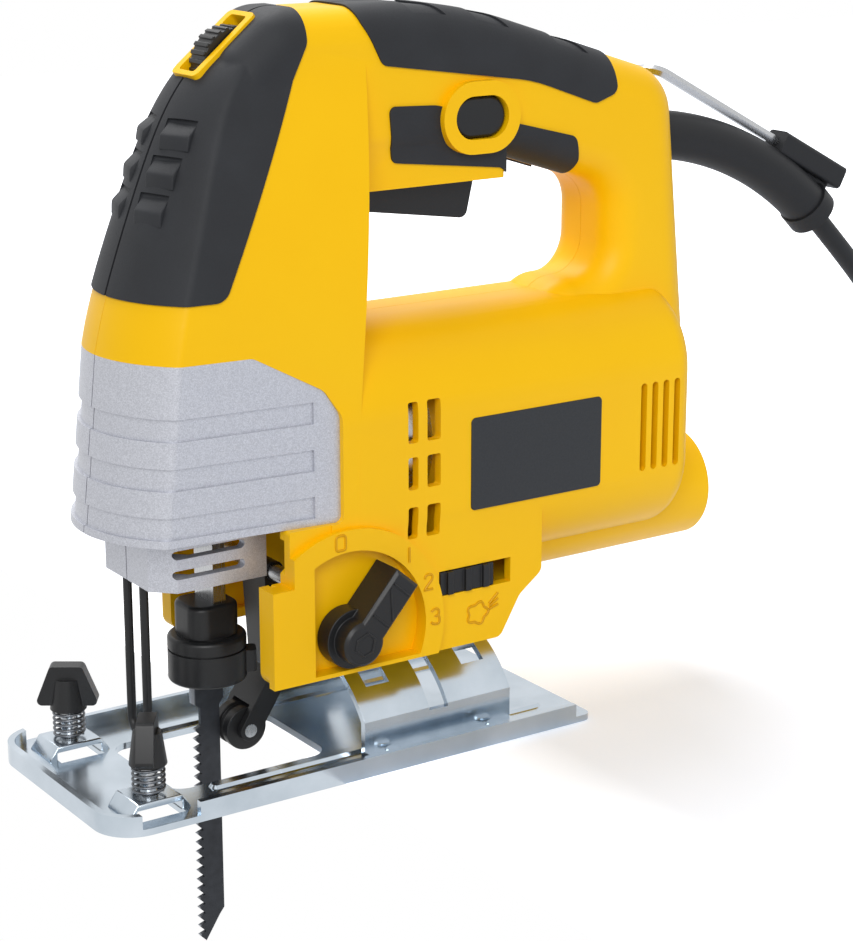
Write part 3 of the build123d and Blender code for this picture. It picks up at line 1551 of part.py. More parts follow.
# Blade clamp and blade
tang_width = tang_rear - tang_front
with BuildPart() as clamp_collar:
    with BuildSketch(Plane.XY.offset(collar_step)):
        with Locations((collar_x, 0)):
            RectangleRounded(collar_side, collar_side, collar_corner)
    extrude(amount=collar_top - collar_step)
    fillet(clamp_collar.faces().sort_by(Axis.Z)[-1].edges(), 1.5)
    with BuildSketch(Plane.XY.offset(ring_bottom)):
        with Locations((collar_x, 0)):
            Circle(ring_inner_radius)
    extrude(amount=collar_step - ring_bottom)
    with BuildSketch(Plane.XY.offset(plunger_bottom)):
        with Locations((plunger_x, 0)):
            Rectangle(plunger_thick, plunger_width)
    extrude(amount=collar_top - plunger_bottom, mode=Mode.SUBTRACT)
    with BuildSketch(Plane.XY.offset(ring_bottom)):
        with Locations((tang_front + tang_width / 2, 0)):
            Rectangle(tang_width, blade_thick)
    extrude(amount=collar_step - ring_bottom, mode=Mode.SUBTRACT)
keep(clamp_collar.part, "clamp_collar")

with BuildPart() as clamp_ring:
    with BuildSketch(Plane.XY.offset(ring_bottom)):
        with Locations((collar_x, 0)):
            Circle(ring_radius)
    extrude(amount=ring_top - ring_bottom)
    fillet(clamp_ring.edges(), ring_round)
    with BuildSketch(Plane.XY.offset(ring_groove_height)):
        with Locations((collar_x, 0)):
            Circle(ring_radius)
            Circle(ring_radius - ring_groove, mode=Mode.SUBTRACT)
    extrude(amount=ring_groove, mode=Mode.SUBTRACT)
    with BuildSketch(Plane.XY.offset(ring_tab_low)):
        with Locations(Location((collar_x, 0, 0), (0, 0, ring_tab_angle))):
            with Locations((ring_tab_reach / 2, 0)):
                RectangleRounded(ring_tab_reach, ring_tab_width, ring_round)
    extrude(amount=ring_tab_high - ring_tab_low)
    with BuildSketch(Plane.XY.offset(ring_bottom)):
        with Locations((collar_x, 0)):
            Circle(ring_inner_radius + running_fit)
    extrude(amount=ring_top - ring_bottom, mode=Mode.SUBTRACT)
keep(clamp_ring.part, "clamp_ring")

gullet = blade_back - blade_width + blade_tooth_depth
blade_corners = [
    (tang_front, collar_step),
    (tang_rear, collar_step),
    (tang_rear, shoulder_top),
    (blade_back + 1.4, shoulder_top),
    (blade_back + 1.4, shoulder_bottom),
    (blade_back, shoulder_bottom - 2),
    (blade_back, blade_tip + 9.4),
    (blade_back - 1.5, blade_tip + 7.5),
    (gullet, blade_tip),
]
tooth_count = int((shoulder_bottom - 5 - blade_tip) / blade_tooth_pitch)
for tooth in range(tooth_count):
    tooth_low = blade_tip + tooth * blade_tooth_pitch
    blade_corners.append((gullet - blade_tooth_depth, tooth_low + 0.75 * blade_tooth_pitch))
    blade_corners.append((gullet, tooth_low + blade_tooth_pitch))
blade_corners.append((gullet, shoulder_bottom - 2))
blade_corners.append((tang_front - 2, shoulder_bottom))
blade_corners.append((tang_front - 2, shoulder_top))
blade_corners.append((tang_front, shoulder_top))
with BuildPart() as saw_blade:
    with BuildSketch(Plane.XZ):
        with BuildLine():
            Polyline(*blade_corners, close=True)
        make_face()
    extrude(amount=blade_thick / 2, both=True)
keep(saw_blade.part, "saw_blade")

# Guide roller on a swinging fork behind the blade
roller_x = blade_back + roller_gap + roller_radius
with BuildPart() as guide_roller:
    with BuildSketch(Plane.XZ):
        with Locations((roller_x, roller_height)):
            Circle(roller_radius)
            Circle(roller_pin_radius + running_fit, mode=Mode.SUBTRACT)
    extrude(amount=roller_width / 2, both=True)
    with BuildSketch(Plane.XZ):
        with Locations((roller_x, roller_height)):
            Circle(roller_radius + 1)
            Circle(roller_radius - 0.9, mode=Mode.SUBTRACT)
    extrude(amount=blade_thick / 2 + 0.6, both=True, mode=Mode.SUBTRACT)
keep(guide_roller.part, "guide_roller")

arm_points = [
    Vector(arm_pivot_x, arm_pivot_height),
    Vector(arm_elbow_x, arm_elbow_height),
    Vector(roller_x, roller_height),
]
with BuildPart() as roller_arm:
    with BuildSketch(Plane.XZ):
        for first, second in zip(arm_points, arm_points[1:]):
            run = second - first
            middle = (first + second) / 2
            with Locations(Location((middle.X, middle.Y, 0), (0, 0, math.degrees(math.atan2(run.Y, run.X))))):
                SlotCenterToCenter(run.length, arm_width)
    extrude(amount=arm_half_depth, both=True)
    with BuildSketch(Plane.XZ):
        with Locations((roller_x, roller_height)):
            Circle(roller_radius + 0.7)
    extrude(amount=roller_width / 2 + 0.3, both=True, mode=Mode.SUBTRACT)
    with BuildSketch(Plane.XZ):
        with Locations((roller_x, roller_height)):
            Circle(roller_pin_radius)
        with Locations((arm_pivot_x, arm_pivot_height)):
            Circle(arm_pin_radius + running_fit)
    extrude(amount=arm_half_depth, both=True, mode=Mode.SUBTRACT)
keep(roller_arm.part, "roller_arm")


keep(pin_along_y(roller_pin_radius, roller_x, roller_height, arm_half_depth), "roller_pin")
keep(pin_along_y(arm_pin_radius, arm_pivot_x, arm_pivot_height, arm_pin_half_length), "roller_arm_pin")

# Hex key in the strain relief's clip
key_bend = Vector(key_bend_x, 0, key_bend_height)
key_tip = Vector(key_tip_x, 0, key_tip_height)
key_way = (key_tip - key_bend).normalized()
with BuildPart() as hex_key:
    with BuildLine() as key_path:
        FilletPolyline(key_tip, key_bend, key_bend + Vector(0, key_short_arm, -3), radius=4.5)
    with BuildSketch(Plane(key_tip, x_dir=(0, 1, 0), z_dir=-key_way)):
        RegularPolygon(key_across_flats / 2, 6, major_radius=False)
    sweep()
keep(hex_key.part, "hex_key")

# Strain relief: a bent sleeve round the cord, with a flange behind the wall and the key's clip on top
def sleeve_tube(radius):
    """A round bar along the sleeve's bend."""
    with BuildPart() as tube:
        with BuildLine():
            TangentArc(sleeve_root, sleeve_end, tangent=sleeve_way)
        with BuildSketch(Plane(sleeve_root, z_dir=sleeve_way)):
            Circle(radius)
        sweep()
    return tube.part


clip_plane = Plane(key_tip, x_dir=(0, 1, 0), z_dir=-key_way)
with BuildPart() as strain_relief:
    add(sleeve_tube(sleeve_radius))
    add(bar_from(sleeve_root, sleeve_way, -sleeve_seat, 0, sleeve_radius))
    add(bar_from(sleeve_root, sleeve_way, -sleeve_seat - sleeve_flange, -sleeve_seat, sleeve_flange_radius))
    add(bar_from(sleeve_end, sleeve_end_way, -6, 0, sleeve_radius + sleeve_flare))
    with BuildSketch(clip_plane):
        RectangleRounded(clip_width, clip_height, 1.5)
    extrude(amount=clip_length)
    with BuildSketch(clip_plane.offset(3)):
        with Locations((0, clip_height)):
            Rectangle(clip_web, 2 * clip_height)
    extrude(amount=clip_length - 3)
    add(sleeve_tube(cord_radius), mode=Mode.SUBTRACT)
    add(bar_from(sleeve_root, sleeve_way, -sleeve_seat - sleeve_flange, 0, cord_radius), mode=Mode.SUBTRACT)
    mouth = bar_from(sleeve_end, sleeve_end_way, -2 * sleeve_mouth, sleeve_mouth, cord_radius + sleeve_mouth)
    add(mouth, mode=Mode.SUBTRACT)
    with BuildSketch(clip_plane):
        RegularPolygon(key_across_flats / 2 + running_fit, 6, major_radius=False)
    extrude(amount=clip_length, mode=Mode.SUBTRACT)
keep(strain_relief.part, "strain_relief")

# Cord: clamped in the handle, through the sleeve, down to the bench and put away in a two-layer coil,
# with its plug laid on top
cord_start = sleeve_root - sleeve_way * cord_inside
coil_height = cord_radius + tie_thick + 0.05
route = [
    sleeve_end,
    sleeve_end + sleeve_end_way * cord_lead,
    Vector(cord_bend_x, cord_bend_side, cord_bend_height),
    Vector(cord_fall_x, cord_fall_side, cord_fall_height),
    Vector(cord_foot_x, cord_foot_side, cord_foot_height),
    Vector(cord_floor_x, coil_side + coil_outer, coil_height),
    Vector(coil_x, coil_side + coil_outer, coil_height),
]
route_radii = []
for before, corner, after in zip(route, route[1:], route[2:]):
    first_run = corner - before
    second_run = after - corner
    turn = math.radians(first_run.get_angle(second_run))
    route_radii.append(route_share * min(first_run.length, second_run.length) / math.tan(turn / 2))
print("cord bend radii", [round(radius, 1) for radius in route_radii])

quarter_step = coil_step / 4
first_quarters = int(4 * coil_first_turns)
climb_quarters = int(4 * coil_climb_turns)
second_quarters = int(4 * coil_second_turns)
lift_quarters = int(4 * coil_lift_turns)
climb_end = coil_outer - quarter_step * (first_quarters + climb_quarters)
widening_quarters = 3
coil_top = coil_height + coil_step + cord_radius
plug_lift = coil_top + plug_half_height + tie_play - coil_height - coil_step
coil_places = []
for quarter in range(first_quarters + climb_quarters + second_quarters + lift_quarters + 1):
    climbed = min(max(quarter - first_quarters, 0), climb_quarters) / climb_quarters
    past = max(quarter - first_quarters - climb_quarters, 0)
    lifted = max(past - second_quarters, 0) / lift_quarters
    inward = quarter_step * (quarter - past)
    outward = coil_widening * min(past, widening_quarters) + quarter_step * max(past - widening_quarters, 0)
    angle = (1 - quarter) * math.pi / 2
    height = coil_height + climbed * coil_step + lifted * plug_lift
    coil_places.append((angle, coil_outer - inward + outward, height))
coil_middle = Vector(coil_x, coil_side, 0)
coil_points = []
for angle, radius, height in coil_places:
    coil_points.append(coil_middle + Vector(radius * math.cos(angle), radius * math.sin(angle), height))
coil_ways = []
for (angle, radius, height), before, after in zip(
    coil_places, [coil_places[0]] + coil_places[:-1], coil_places[1:] + [coil_places[-1]]
):
    around = Vector(math.sin(angle), -math.cos(angle), 0) * radius
    quarters = 2 if before != after else 1
    outward = (after[1] - before[1]) / (quarters * math.pi / 2)
    upward = min(after[2] - height, height - before[2]) / (math.pi / 2)
    way = around + Vector(math.cos(angle), math.sin(angle), 0) * outward + Vector(0, 0, upward)
    coil_ways.append(way.normalized())
coil_ways[0] = Vector(1, 0, 0)
coil_ways[-1] = Vector(0, 1, 0)
tail_start = coil_points[-1] + Vector(plug_bend_radius, plug_bend_radius, 0)
tail_end = tail_start + Vector(cord_tail, 0, 0)

with BuildPart() as power_cord:
    with BuildLine() as cord_path:
        Line(cord_start, sleeve_root)
        TangentArc(sleeve_root, sleeve_end, tangent=sleeve_way)
        FilletPolyline(*route, radius=route_radii)
        for first, first_way, second, second_way in zip(coil_points, coil_ways, coil_points[1:], coil_ways[1:]):
            biarc(first, first_way, second, second_way)
        TangentArc(coil_points[-1], tail_start, tangent=coil_ways[-1])
        Line(tail_start, tail_end)
    with BuildSketch(Plane(cord_start, z_dir=sleeve_way)):
        Circle(cord_radius)
    sweep()
cord_length = sum(edge.length for edge in cord_path.line.edges())
print("cord length", round(cord_length))
print("coil: least gap", least_gap(cord_path.line.edges(), cord_radius, 12 * cord_radius))
keep(power_cord.part, "power_cord")

# Cord clamp in the handle, and a tie round the coil
with BuildPart() as cord_clamp:
    with BuildSketch(Plane.YZ.offset(cord_clamp_front)):
        with Locations((0, sleeve_start_height + 1)):
            Rectangle(2 * (handle_half_width - wall), cord_clamp_height)
    extrude(amount=cord_clamp_length)
    add(bar_from(sleeve_root, sleeve_way, -cord_inside, 0, cord_radius), mode=Mode.SUBTRACT)
keep(cord_clamp.part, "cord_clamp")

tie_inner = climb_end + coil_widening - cord_radius - tie_play
tie_outer = coil_outer - 3 * quarter_step + cord_radius + tie_play
tie_top = coil_top + 0.1
with BuildPart() as cord_tie:
    with BuildSketch(Plane.XZ.offset(-coil_side - tie_width / 2)):
        with Locations((coil_x - (tie_inner + tie_outer) / 2, (tie_top + tie_thick) / 2)):
            RectangleRounded(tie_outer - tie_inner + 2 * tie_thick, tie_top + tie_thick, 2.4)
            RectangleRounded(tie_outer - tie_inner, tie_top - tie_thick, 1.6, mode=Mode.SUBTRACT)
    extrude(amount=tie_width)
keep(cord_tie.part, "cord_tie")

# Plug: a plain flat two-pin body that lies on the coil
plug_stations = ((0.0, 0.4, 0.75), (0.35, 0.55, 0.85), (0.62, 1.0, 1.0), (1.0, 1.0, 1.0))
with BuildPart() as plug_body:
    for share_along, share_width, share_height in plug_stations:
        with BuildSketch(Plane.YZ.offset(tail_end.X + share_along * plug_length)):
            with Locations((tail_end.Y, tail_end.Z)):
                RectangleRounded(
                    2 * plug_half_width * share_width,
                    2 * plug_half_height * share_height,
                    0.7 * plug_half_height * share_height,
                )
    loft(ruled=True)
keep(plug_body.part, "plug_body")

with BuildPart() as plug_pins:
    with BuildSketch(Plane.YZ.offset(tail_end.X + plug_length)):
        with Locations((tail_end.Y, tail_end.Z)):
            with GridLocations(plug_pin_pitch, 0, 2, 1):
                Circle(plug_pin_radius)
    extrude(amount=plug_pin_length)
    fillet(plug_pins.faces().group_by(Axis.X)[-1].edges(), 1.0)
keep(plug_pins.part, "plug_pins")
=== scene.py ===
import json
import math

import bmesh
import bpy
from mathutils import Matrix, Vector
from mathutils.bvhtree import BVHTree


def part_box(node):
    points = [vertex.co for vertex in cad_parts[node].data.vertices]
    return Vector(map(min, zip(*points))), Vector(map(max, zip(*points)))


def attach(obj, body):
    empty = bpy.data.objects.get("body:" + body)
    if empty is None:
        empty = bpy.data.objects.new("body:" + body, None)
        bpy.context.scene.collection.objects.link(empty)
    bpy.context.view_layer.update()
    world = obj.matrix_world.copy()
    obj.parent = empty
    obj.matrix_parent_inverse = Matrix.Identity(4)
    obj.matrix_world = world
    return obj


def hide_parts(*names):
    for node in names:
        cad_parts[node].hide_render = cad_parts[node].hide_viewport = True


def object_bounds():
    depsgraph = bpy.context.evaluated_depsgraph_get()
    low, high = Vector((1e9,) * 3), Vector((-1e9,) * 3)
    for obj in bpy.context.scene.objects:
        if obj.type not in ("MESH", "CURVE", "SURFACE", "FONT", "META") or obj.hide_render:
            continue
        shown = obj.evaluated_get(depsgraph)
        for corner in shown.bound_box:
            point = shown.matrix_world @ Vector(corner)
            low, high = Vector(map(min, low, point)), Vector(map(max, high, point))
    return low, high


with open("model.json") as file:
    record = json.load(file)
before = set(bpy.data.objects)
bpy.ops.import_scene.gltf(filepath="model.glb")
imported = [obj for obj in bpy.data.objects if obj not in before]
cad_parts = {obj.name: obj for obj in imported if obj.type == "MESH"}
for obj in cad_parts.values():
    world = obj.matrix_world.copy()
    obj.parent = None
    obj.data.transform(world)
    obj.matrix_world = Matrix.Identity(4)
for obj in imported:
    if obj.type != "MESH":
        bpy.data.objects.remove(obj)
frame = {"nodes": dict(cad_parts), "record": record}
cad_low, cad_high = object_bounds()
MM = 0.001

# Camera: a close product view from a little above the tool, in front of its left side, with a long lens.
# The focal length is in pixels of the picture's long side, and the place is in millimetres.
picture_height = 941
focal_pixels = 2400
camera_place = Vector((-312.85, -579.27, 276.03)) * MM
camera_heading = math.radians(34)
camera_drop = math.radians(16)

camera_data = bpy.data.cameras.new("product_camera")
camera_data.sensor_width = 36
camera_data.lens = focal_pixels * camera_data.sensor_width / picture_height
camera_data.clip_start = 0.05
camera_data.clip_end = 20
camera = bpy.data.objects.new("product_camera", camera_data)
bpy.context.scene.collection.objects.link(camera)
look = Vector(
    (
        math.cos(camera_drop) * math.sin(camera_heading),
        math.cos(camera_drop) * math.cos(camera_heading),
        -math.sin(camera_drop),
    )
)
camera.location = camera_place
camera.rotation_euler = look.to_track_quat("-Z", "Y").to_euler()
bpy.context.scene.camera = camera
bpy.context.scene.view_settings.view_transform = "Standard"

# Mains lead: a round black PVC sheath, led out of the sleeve, down to the bench and put away
# in a tied coil of two layers behind the tool, with its plug laid on top.
cord_radius = 3.5
sleeve_root = Vector((162.0, 0, 171.0))
sleeve_bend = 113.7
sleeve_start = math.radians(-5)
sleeve_stop = math.radians(-44)
cord_tuck = 8.0
cord_lead = 24.0
cord_fall = ((276, 9, 99), (287, 25, 61), (292, 33, 25))
bench_gap = 0.85
coil_height = cord_radius + bench_gap
coil_entry = 312.0
coil_x = 340.0
coil_side = -19.6
coil_outer = 54.6
coil_step = 7.6
coil_first_turns = 3
coil_climb_turns = 0.5
coil_second_turns = 1.75
coil_lift_turns = 0.5
coil_widening = 3.2
widening_quarters = 3
cord_tail = 4.0
plug_bend_radius = 32.0
plug_lift = 10.3
points_per_turn = 12


def srgb(code):
    """A hex colour as the linear values that a shader socket takes."""
    values = []
    for place in (0, 2, 4):
        share = int(code[place : place + 2], 16) / 255
        values.append(share / 12.92 if share <= 0.04045 else ((share + 0.055) / 1.055) ** 2.4)
    return (*values, 1.0)


def add_node(material, kind, sockets=None, **settings):
    """Add a node, set what it has, and set or link its sockets."""
    made = material.node_tree.nodes.new(kind)
    for name, value in settings.items():
        setattr(made, name, value)
    for socket, value in (sockets or {}).items():
        if isinstance(value, bpy.types.NodeSocket):
            material.node_tree.links.new(value, made.inputs[socket])
        else:
            made.inputs[socket].default_value = value
    return made


def new_material(name):
    """An empty node material with its output, and the object coordinates to draw patterns on."""
    material = bpy.data.materials.new(name)
    material.use_nodes = True
    material.node_tree.nodes.clear()
    output = add_node(material, "ShaderNodeOutputMaterial")
    place = add_node(material, "ShaderNodeTexCoord").outputs["Object"]
    return material, output, place


def finish_material(material, output, shader):
    """Lead a shader to the surface of a material."""
    material.node_tree.links.new(shader.outputs[0], output.inputs["Surface"])


# Flexible PVC, extruded: dull black with a faint orange-peel skin and a soft sheen.
pvc_grain = 0.9
pvc_skin_depth = 0.1
pvc_sheath, output, place = new_material("extruded_pvc_sheath")
grain = add_node(
    pvc_sheath,
    "ShaderNodeTexNoise",
    {"Vector": place, "Scale": 1 / (pvc_grain * MM), "Detail": 3.0},
)
tone = add_node(
    pvc_sheath,
    "ShaderNodeMix",
    {"Factor": grain.outputs["Fac"], 6: srgb("1a1b1d"), 7: srgb("232427")},
    data_type="RGBA",
)
dull = add_node(
    pvc_sheath,
    "ShaderNodeMapRange",
    {"Value": grain.outputs["Fac"], "To Min": 0.42, "To Max": 0.58},
)
skin = add_node(
    pvc_sheath,
    "ShaderNodeBump",
    {"Height": grain.outputs["Fac"], "Strength": 0.15, "Distance": pvc_skin_depth * MM},
)
finish_material(
    pvc_sheath,
    output,
    add_node(
        pvc_sheath,
        "ShaderNodeBsdfPrincipled",
        {
            "Base Color": tone.outputs[2],
            "Roughness": dull.outputs["Result"],
            "IOR": 1.5,
            "Specular IOR Level": 0.28,
            "Normal": skin.outputs["Normal"],
        },
    ),
)

sleeve_end_way = Vector((math.cos(sleeve_stop), 0, math.sin(sleeve_stop)))
sleeve_end = sleeve_root + sleeve_bend * Vector(
    (math.sin(sleeve_start) - math.sin(sleeve_stop), 0, math.cos(sleeve_stop) - math.cos(sleeve_start))
)
lead_points = [
    sleeve_end - sleeve_end_way * cord_tuck,
    sleeve_end + sleeve_end_way * cord_lead,
    *(Vector(point) for point in cord_fall),
    Vector((coil_entry, coil_side + coil_outer, coil_height)),
]

# The coil winds inwards, climbs to its second layer and winds out again, and its last half turn lifts
# to the plug.
swell = 1 / math.cos(math.pi / points_per_turn)
quarter_step = coil_step / 4
coil_turns = coil_first_turns + coil_climb_turns + coil_second_turns + coil_lift_turns
for step in range(int(points_per_turn * coil_turns) + 1):
    quarter = 4 * step / points_per_turn
    climbed = min(max(quarter - 4 * coil_first_turns, 0) / (4 * coil_climb_turns), 1)
    past = max(quarter - 4 * (coil_first_turns + coil_climb_turns), 0)
    lifted = max(past - 4 * coil_second_turns, 0) / (4 * coil_lift_turns)
    inward = quarter_step * (quarter - past)
    outward = coil_widening * min(past, widening_quarters)
    outward += quarter_step * max(past - widening_quarters, 0)
    radius = coil_outer - inward + outward
    angle = (1 - quarter) * math.pi / 2
    lead_points.append(
        Vector(
            (
                coil_x + radius * swell * math.cos(angle),
                coil_side + radius * swell * math.sin(angle),
                coil_height + climbed * coil_step + lifted * plug_lift,
            )
        )
    )
tail_corner = Vector((coil_x - radius, coil_side, coil_height + coil_step + plug_lift))
tail_points = (
    (0, -2),
    (6, 19),
    (24, plug_bend_radius),
    (plug_bend_radius + cord_tail, plug_bend_radius),
)
lead_points.pop()
for along, aside in tail_points:
    lead_points.append(tail_corner + Vector((along, aside, 0)))

cord_curve = bpy.data.curves.new("mains_lead", "CURVE")
cord_curve.dimensions = "3D"
cord_curve.bevel_depth = cord_radius * MM
cord_curve.bevel_resolution = 5
cord_curve.resolution_u = 10
cord_curve.use_fill_caps = True
lead = cord_curve.splines.new("NURBS")
lead.points.add(len(lead_points) - 1)
for control, point in zip(lead.points, lead_points):
    control.co = (*(point * MM), 1)
lead.order_u = 3
lead.use_endpoint_u = True
cord_curve.materials.append(pvc_sheath)
mains_lead = bpy.data.objects.new("mains_lead", cord_curve)
bpy.context.scene.collection.objects.link(mains_lead)
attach(mains_lead, "housing")
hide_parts("power_cord")

# Housing: two ABS half shells, injection moulded, screwed together on the middle plane.
# The spark-eroded mould leaves a fine satin grain, and the parting edges a thin dark joint.
bodies = frame["record"]["behaviour"]["bodies"]
node_bodies = {node: body for body, nodes in bodies.items() for node in nodes}
merge_distance = 0.002 * MM
flat_turn = math.radians(0.4)
crease_margin = 5


def soften_edges(piece, edge, crease, hard=True):
    """Round the edges of a piece that are sharper than its creases, in millimetres and degrees."""
    soften = piece.modifiers.new("soft_edges", "BEVEL")
    soften.width = edge * MM
    soften.segments = 2
    soften.limit_method = "ANGLE"
    soften.angle_limit = math.radians(crease + crease_margin)
    soften.use_clamp_overlap = True
    soften.harden_normals = hard


def mark_creases(form, crease):
    """Shade a form smooth, apart from the edges that turn by more than a crease, in degrees."""
    for side in form.edges:
        side.smooth = side.calc_face_angle(0) < math.radians(crease)
    for face in form.faces:
        face.smooth = True
        face.material_index = 0


def mesh_of(name, form):
    """A mesh of that name from a form, which is let go."""
    mesh = bpy.data.meshes.new(name)
    form.to_mesh(mesh)
    form.free()
    return mesh


def new_piece(name, mesh, material, body):
    """A piece from a mesh that is in place, with its material, riding on a body."""
    mesh.materials.append(material)
    piece = bpy.data.objects.new(name, mesh)
    bpy.context.scene.collection.objects.link(piece)
    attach(piece, body)
    return piece


def finished(node, material, ending, crease=30, edge=0.0, seam=0.0):
    """A cleaned copy of a CAD node: merged, smooth between its creases, with softened edges.

    A half with a seam is drawn back from the middle plane by that much, so that the joint shows."""
    name = f"{node}_{ending}"
    form = bmesh.new()
    form.from_mesh(frame["nodes"][node].data)
    bmesh.ops.remove_doubles(form, verts=form.verts, dist=merge_distance)
    bmesh.ops.dissolve_limit(form, angle_limit=flat_turn, verts=form.verts, edges=form.edges)
    if seam:
        step = math.copysign(seam * MM, sum(corner.co.y for corner in form.verts))
        for corner in form.verts:
            if abs(corner.co.y) < merge_distance:
                corner.co.y += step
    mark_creases(form, crease)
    piece = new_piece(name, mesh_of(name, form), material, node_bodies[node])
    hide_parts(node)
    if edge:
        soften_edges(piece, edge, crease)
    return piece


# Moulded ABS: saturated yellow, satin, with a grain too fine to see that is drawn at twice its size.
abs_grain = 0.35
abs_cloud = 38.0
abs_texture_depth = 0.05
yellow_abs, output, place = new_material("moulded_yellow_abs")
grain = add_node(
    yellow_abs,
    "ShaderNodeTexNoise",
    {"Vector": place, "Scale": 1 / (abs_grain * MM), "Detail": 2.0},
)
cloud = add_node(
    yellow_abs,
    "ShaderNodeTexNoise",
    {"Vector": place, "Scale": 1 / (abs_cloud * MM), "Detail": 4.0},
)
tone = add_node(
    yellow_abs,
    "ShaderNodeMix",
    {"Factor": cloud.outputs["Fac"], 6: srgb("fbc000"), 7: srgb("ffc904")},
    data_type="RGBA",
)
satin = add_node(
    yellow_abs,
    "ShaderNodeMapRange",
    {"Value": cloud.outputs["Fac"], "To Min": 0.34, "To Max": 0.46},
)
texture = add_node(
    yellow_abs,
    "ShaderNodeBump",
    {"Height": grain.outputs["Fac"], "Strength": 0.12, "Distance": abs_texture_depth * MM},
)
finish_material(
    yellow_abs,
    output,
    add_node(
        yellow_abs,
        "ShaderNodeBsdfPrincipled",
        {
            "Base Color": tone.outputs[2],
            "Roughness": satin.outputs["Result"],
            "IOR": 1.53,
            "Specular IOR Level": 0.2,
            "Normal": texture.outputs["Normal"],
        },
    ),
)
for node in ("housing_left", "housing_right"):
    finished(node, yellow_abs, "shell", crease=28, edge=0.5, seam=0.1)
for node in ("dial_bezel", "dust_tube"):
    finished(node, yellow_abs, "moulding", crease=30, edge=0.4)

# Marks on the left shell: the selector's stop numbers and the blower's puff sign, thin lines
# that the mould leaves standing on the ring and the skirt, polished smoother. Their deeper yellow
# is painted shade, which makes the thin lines read dark.
mark_cloud = 6.0
mark_abs, output, place = new_material("painted_shade_yellow_abs")
cloud = add_node(
    mark_abs,
    "ShaderNodeTexNoise",
    {"Vector": place, "Scale": 1 / (mark_cloud * MM), "Detail": 2.0},
)
# Painted shade: the marks' deeper yellow stands in for the shade along the thin lines.
tone = add_node(
    mark_abs,
    "ShaderNodeMix",
    {"Factor": cloud.outputs["Fac"], 6: srgb("d79a00"), 7: srgb("e2a600")},
    data_type="RGBA",
)
gloss = add_node(
    mark_abs,
    "ShaderNodeMapRange",
    {"Value": cloud.outputs["Fac"], "To Min": 0.25, "To Max": 0.35},
)
finish_material(
    mark_abs,
    output,
    add_node(
        mark_abs,
        "ShaderNodeBsdfPrincipled",
        {
            "Base Color": tone.outputs[2],
            "Roughness": gloss.outputs["Result"],
            "IOR": 1.53,
            "Specular IOR Level": 0.2,
        },
    ),
)
ring_face = -34.4
skirt_face = -32.0
mark_line = 0.8
number_lines = {
    "nought": (
        (0, 2.2), (1.6, 2.2), (1.6, 0), (1.6, -2.2), (0, -2.2),
        (-1.6, -2.2), (-1.6, 0), (-1.6, 2.2), (0, 2.2),
    ),
    "one": ((0, 2.2), (0, 0), (0, -2.2)),
    "two": (
        (-1.3, 1.2), (-1.2, 2.4), (1.2, 2.4), (1.4, 0.8),
        (0, -0.5), (-1.4, -2.2), (-1.4, -2.2), (1.4, -2.2),
    ),
    "three": (
        (-1.3, 1.6), (-0.6, 2.4), (1.3, 2.2), (1.2, 0.1), (0, 0.1),
        (0, 0.1), (1.5, 0), (1.5, -2.4), (-0.6, -2.4), (-1.4, -1.6),
    ),
}
number_places = {"nought": (25.7, 71.0), "one": (48.7, 63.4), "two": (55.4, 53.9), "three": (57.7, 43.0)}
puff_place = (76.0, 40.6)
puff_size = 3.5
puff_lobes = 5
puff_lobe_rise = 0.55
puff_flatness = 0.9
puff_middle = (-1.6, -0.6)
puff_steps = 30
jet_leans = (-0.5, 0.1, 0.7)
jet_points = ((2.6, 0.6, 1.5), (4.2, 1.5, 2.2), (5.8, 2.4, 3.0))
puff_edge = []
for step in range(puff_steps + 1):
    turn = 2 * math.pi * step / puff_steps
    reach = puff_size + puff_lobe_rise * math.cos(puff_lobes * turn)
    across = reach * math.cos(turn) + puff_middle[0]
    puff_edge.append((across, puff_flatness * reach * math.sin(turn) + puff_middle[1]))
puff_lines = [puff_edge]
for lean in jet_leans:
    puff_lines.append([(across, up + lean * spread) for across, up, spread in jet_points])


def raised_lines(name, lines, width, place, body, material):
    """Thin round lines of a moulding, drawn in millimetres across and up, facing the left side."""
    drawing = bpy.data.curves.new(name, "CURVE")
    drawing.dimensions = "3D"
    drawing.bevel_depth = width / 2 * MM
    drawing.bevel_resolution = 2
    drawing.resolution_u = 4
    drawing.use_fill_caps = True
    for points in lines:
        line = drawing.splines.new("NURBS")
        line.points.add(len(points) - 1)
        for control, (across, up) in zip(line.points, points):
            control.co = (across * MM, up * MM, 0, 1)
        line.order_u = 3
        line.use_endpoint_u = True
    pattern = bpy.data.objects.new(f"{name}_drawing", drawing)
    mesh = bpy.data.meshes.new_from_object(pattern)
    bpy.data.objects.remove(pattern)
    mesh.transform(Matrix.Translation(Vector(place) * MM) @ Matrix.Rotation(math.radians(90), 4, "X"))
    for face in mesh.polygons:
        face.use_smooth = True
    new_piece(name, mesh, material, body)


for name, points in number_lines.items():
    across, up = number_places[name]
    raised_lines(
        f"selector_{name}",
        [points],
        mark_line,
        (across, ring_face, up),
        "housing",
        mark_abs,
    )
raised_lines(
    "blower_puff_sign",
    puff_lines,
    mark_line,
    (puff_place[0], skirt_face, puff_place[1]),
    "housing",
    mark_abs,
)

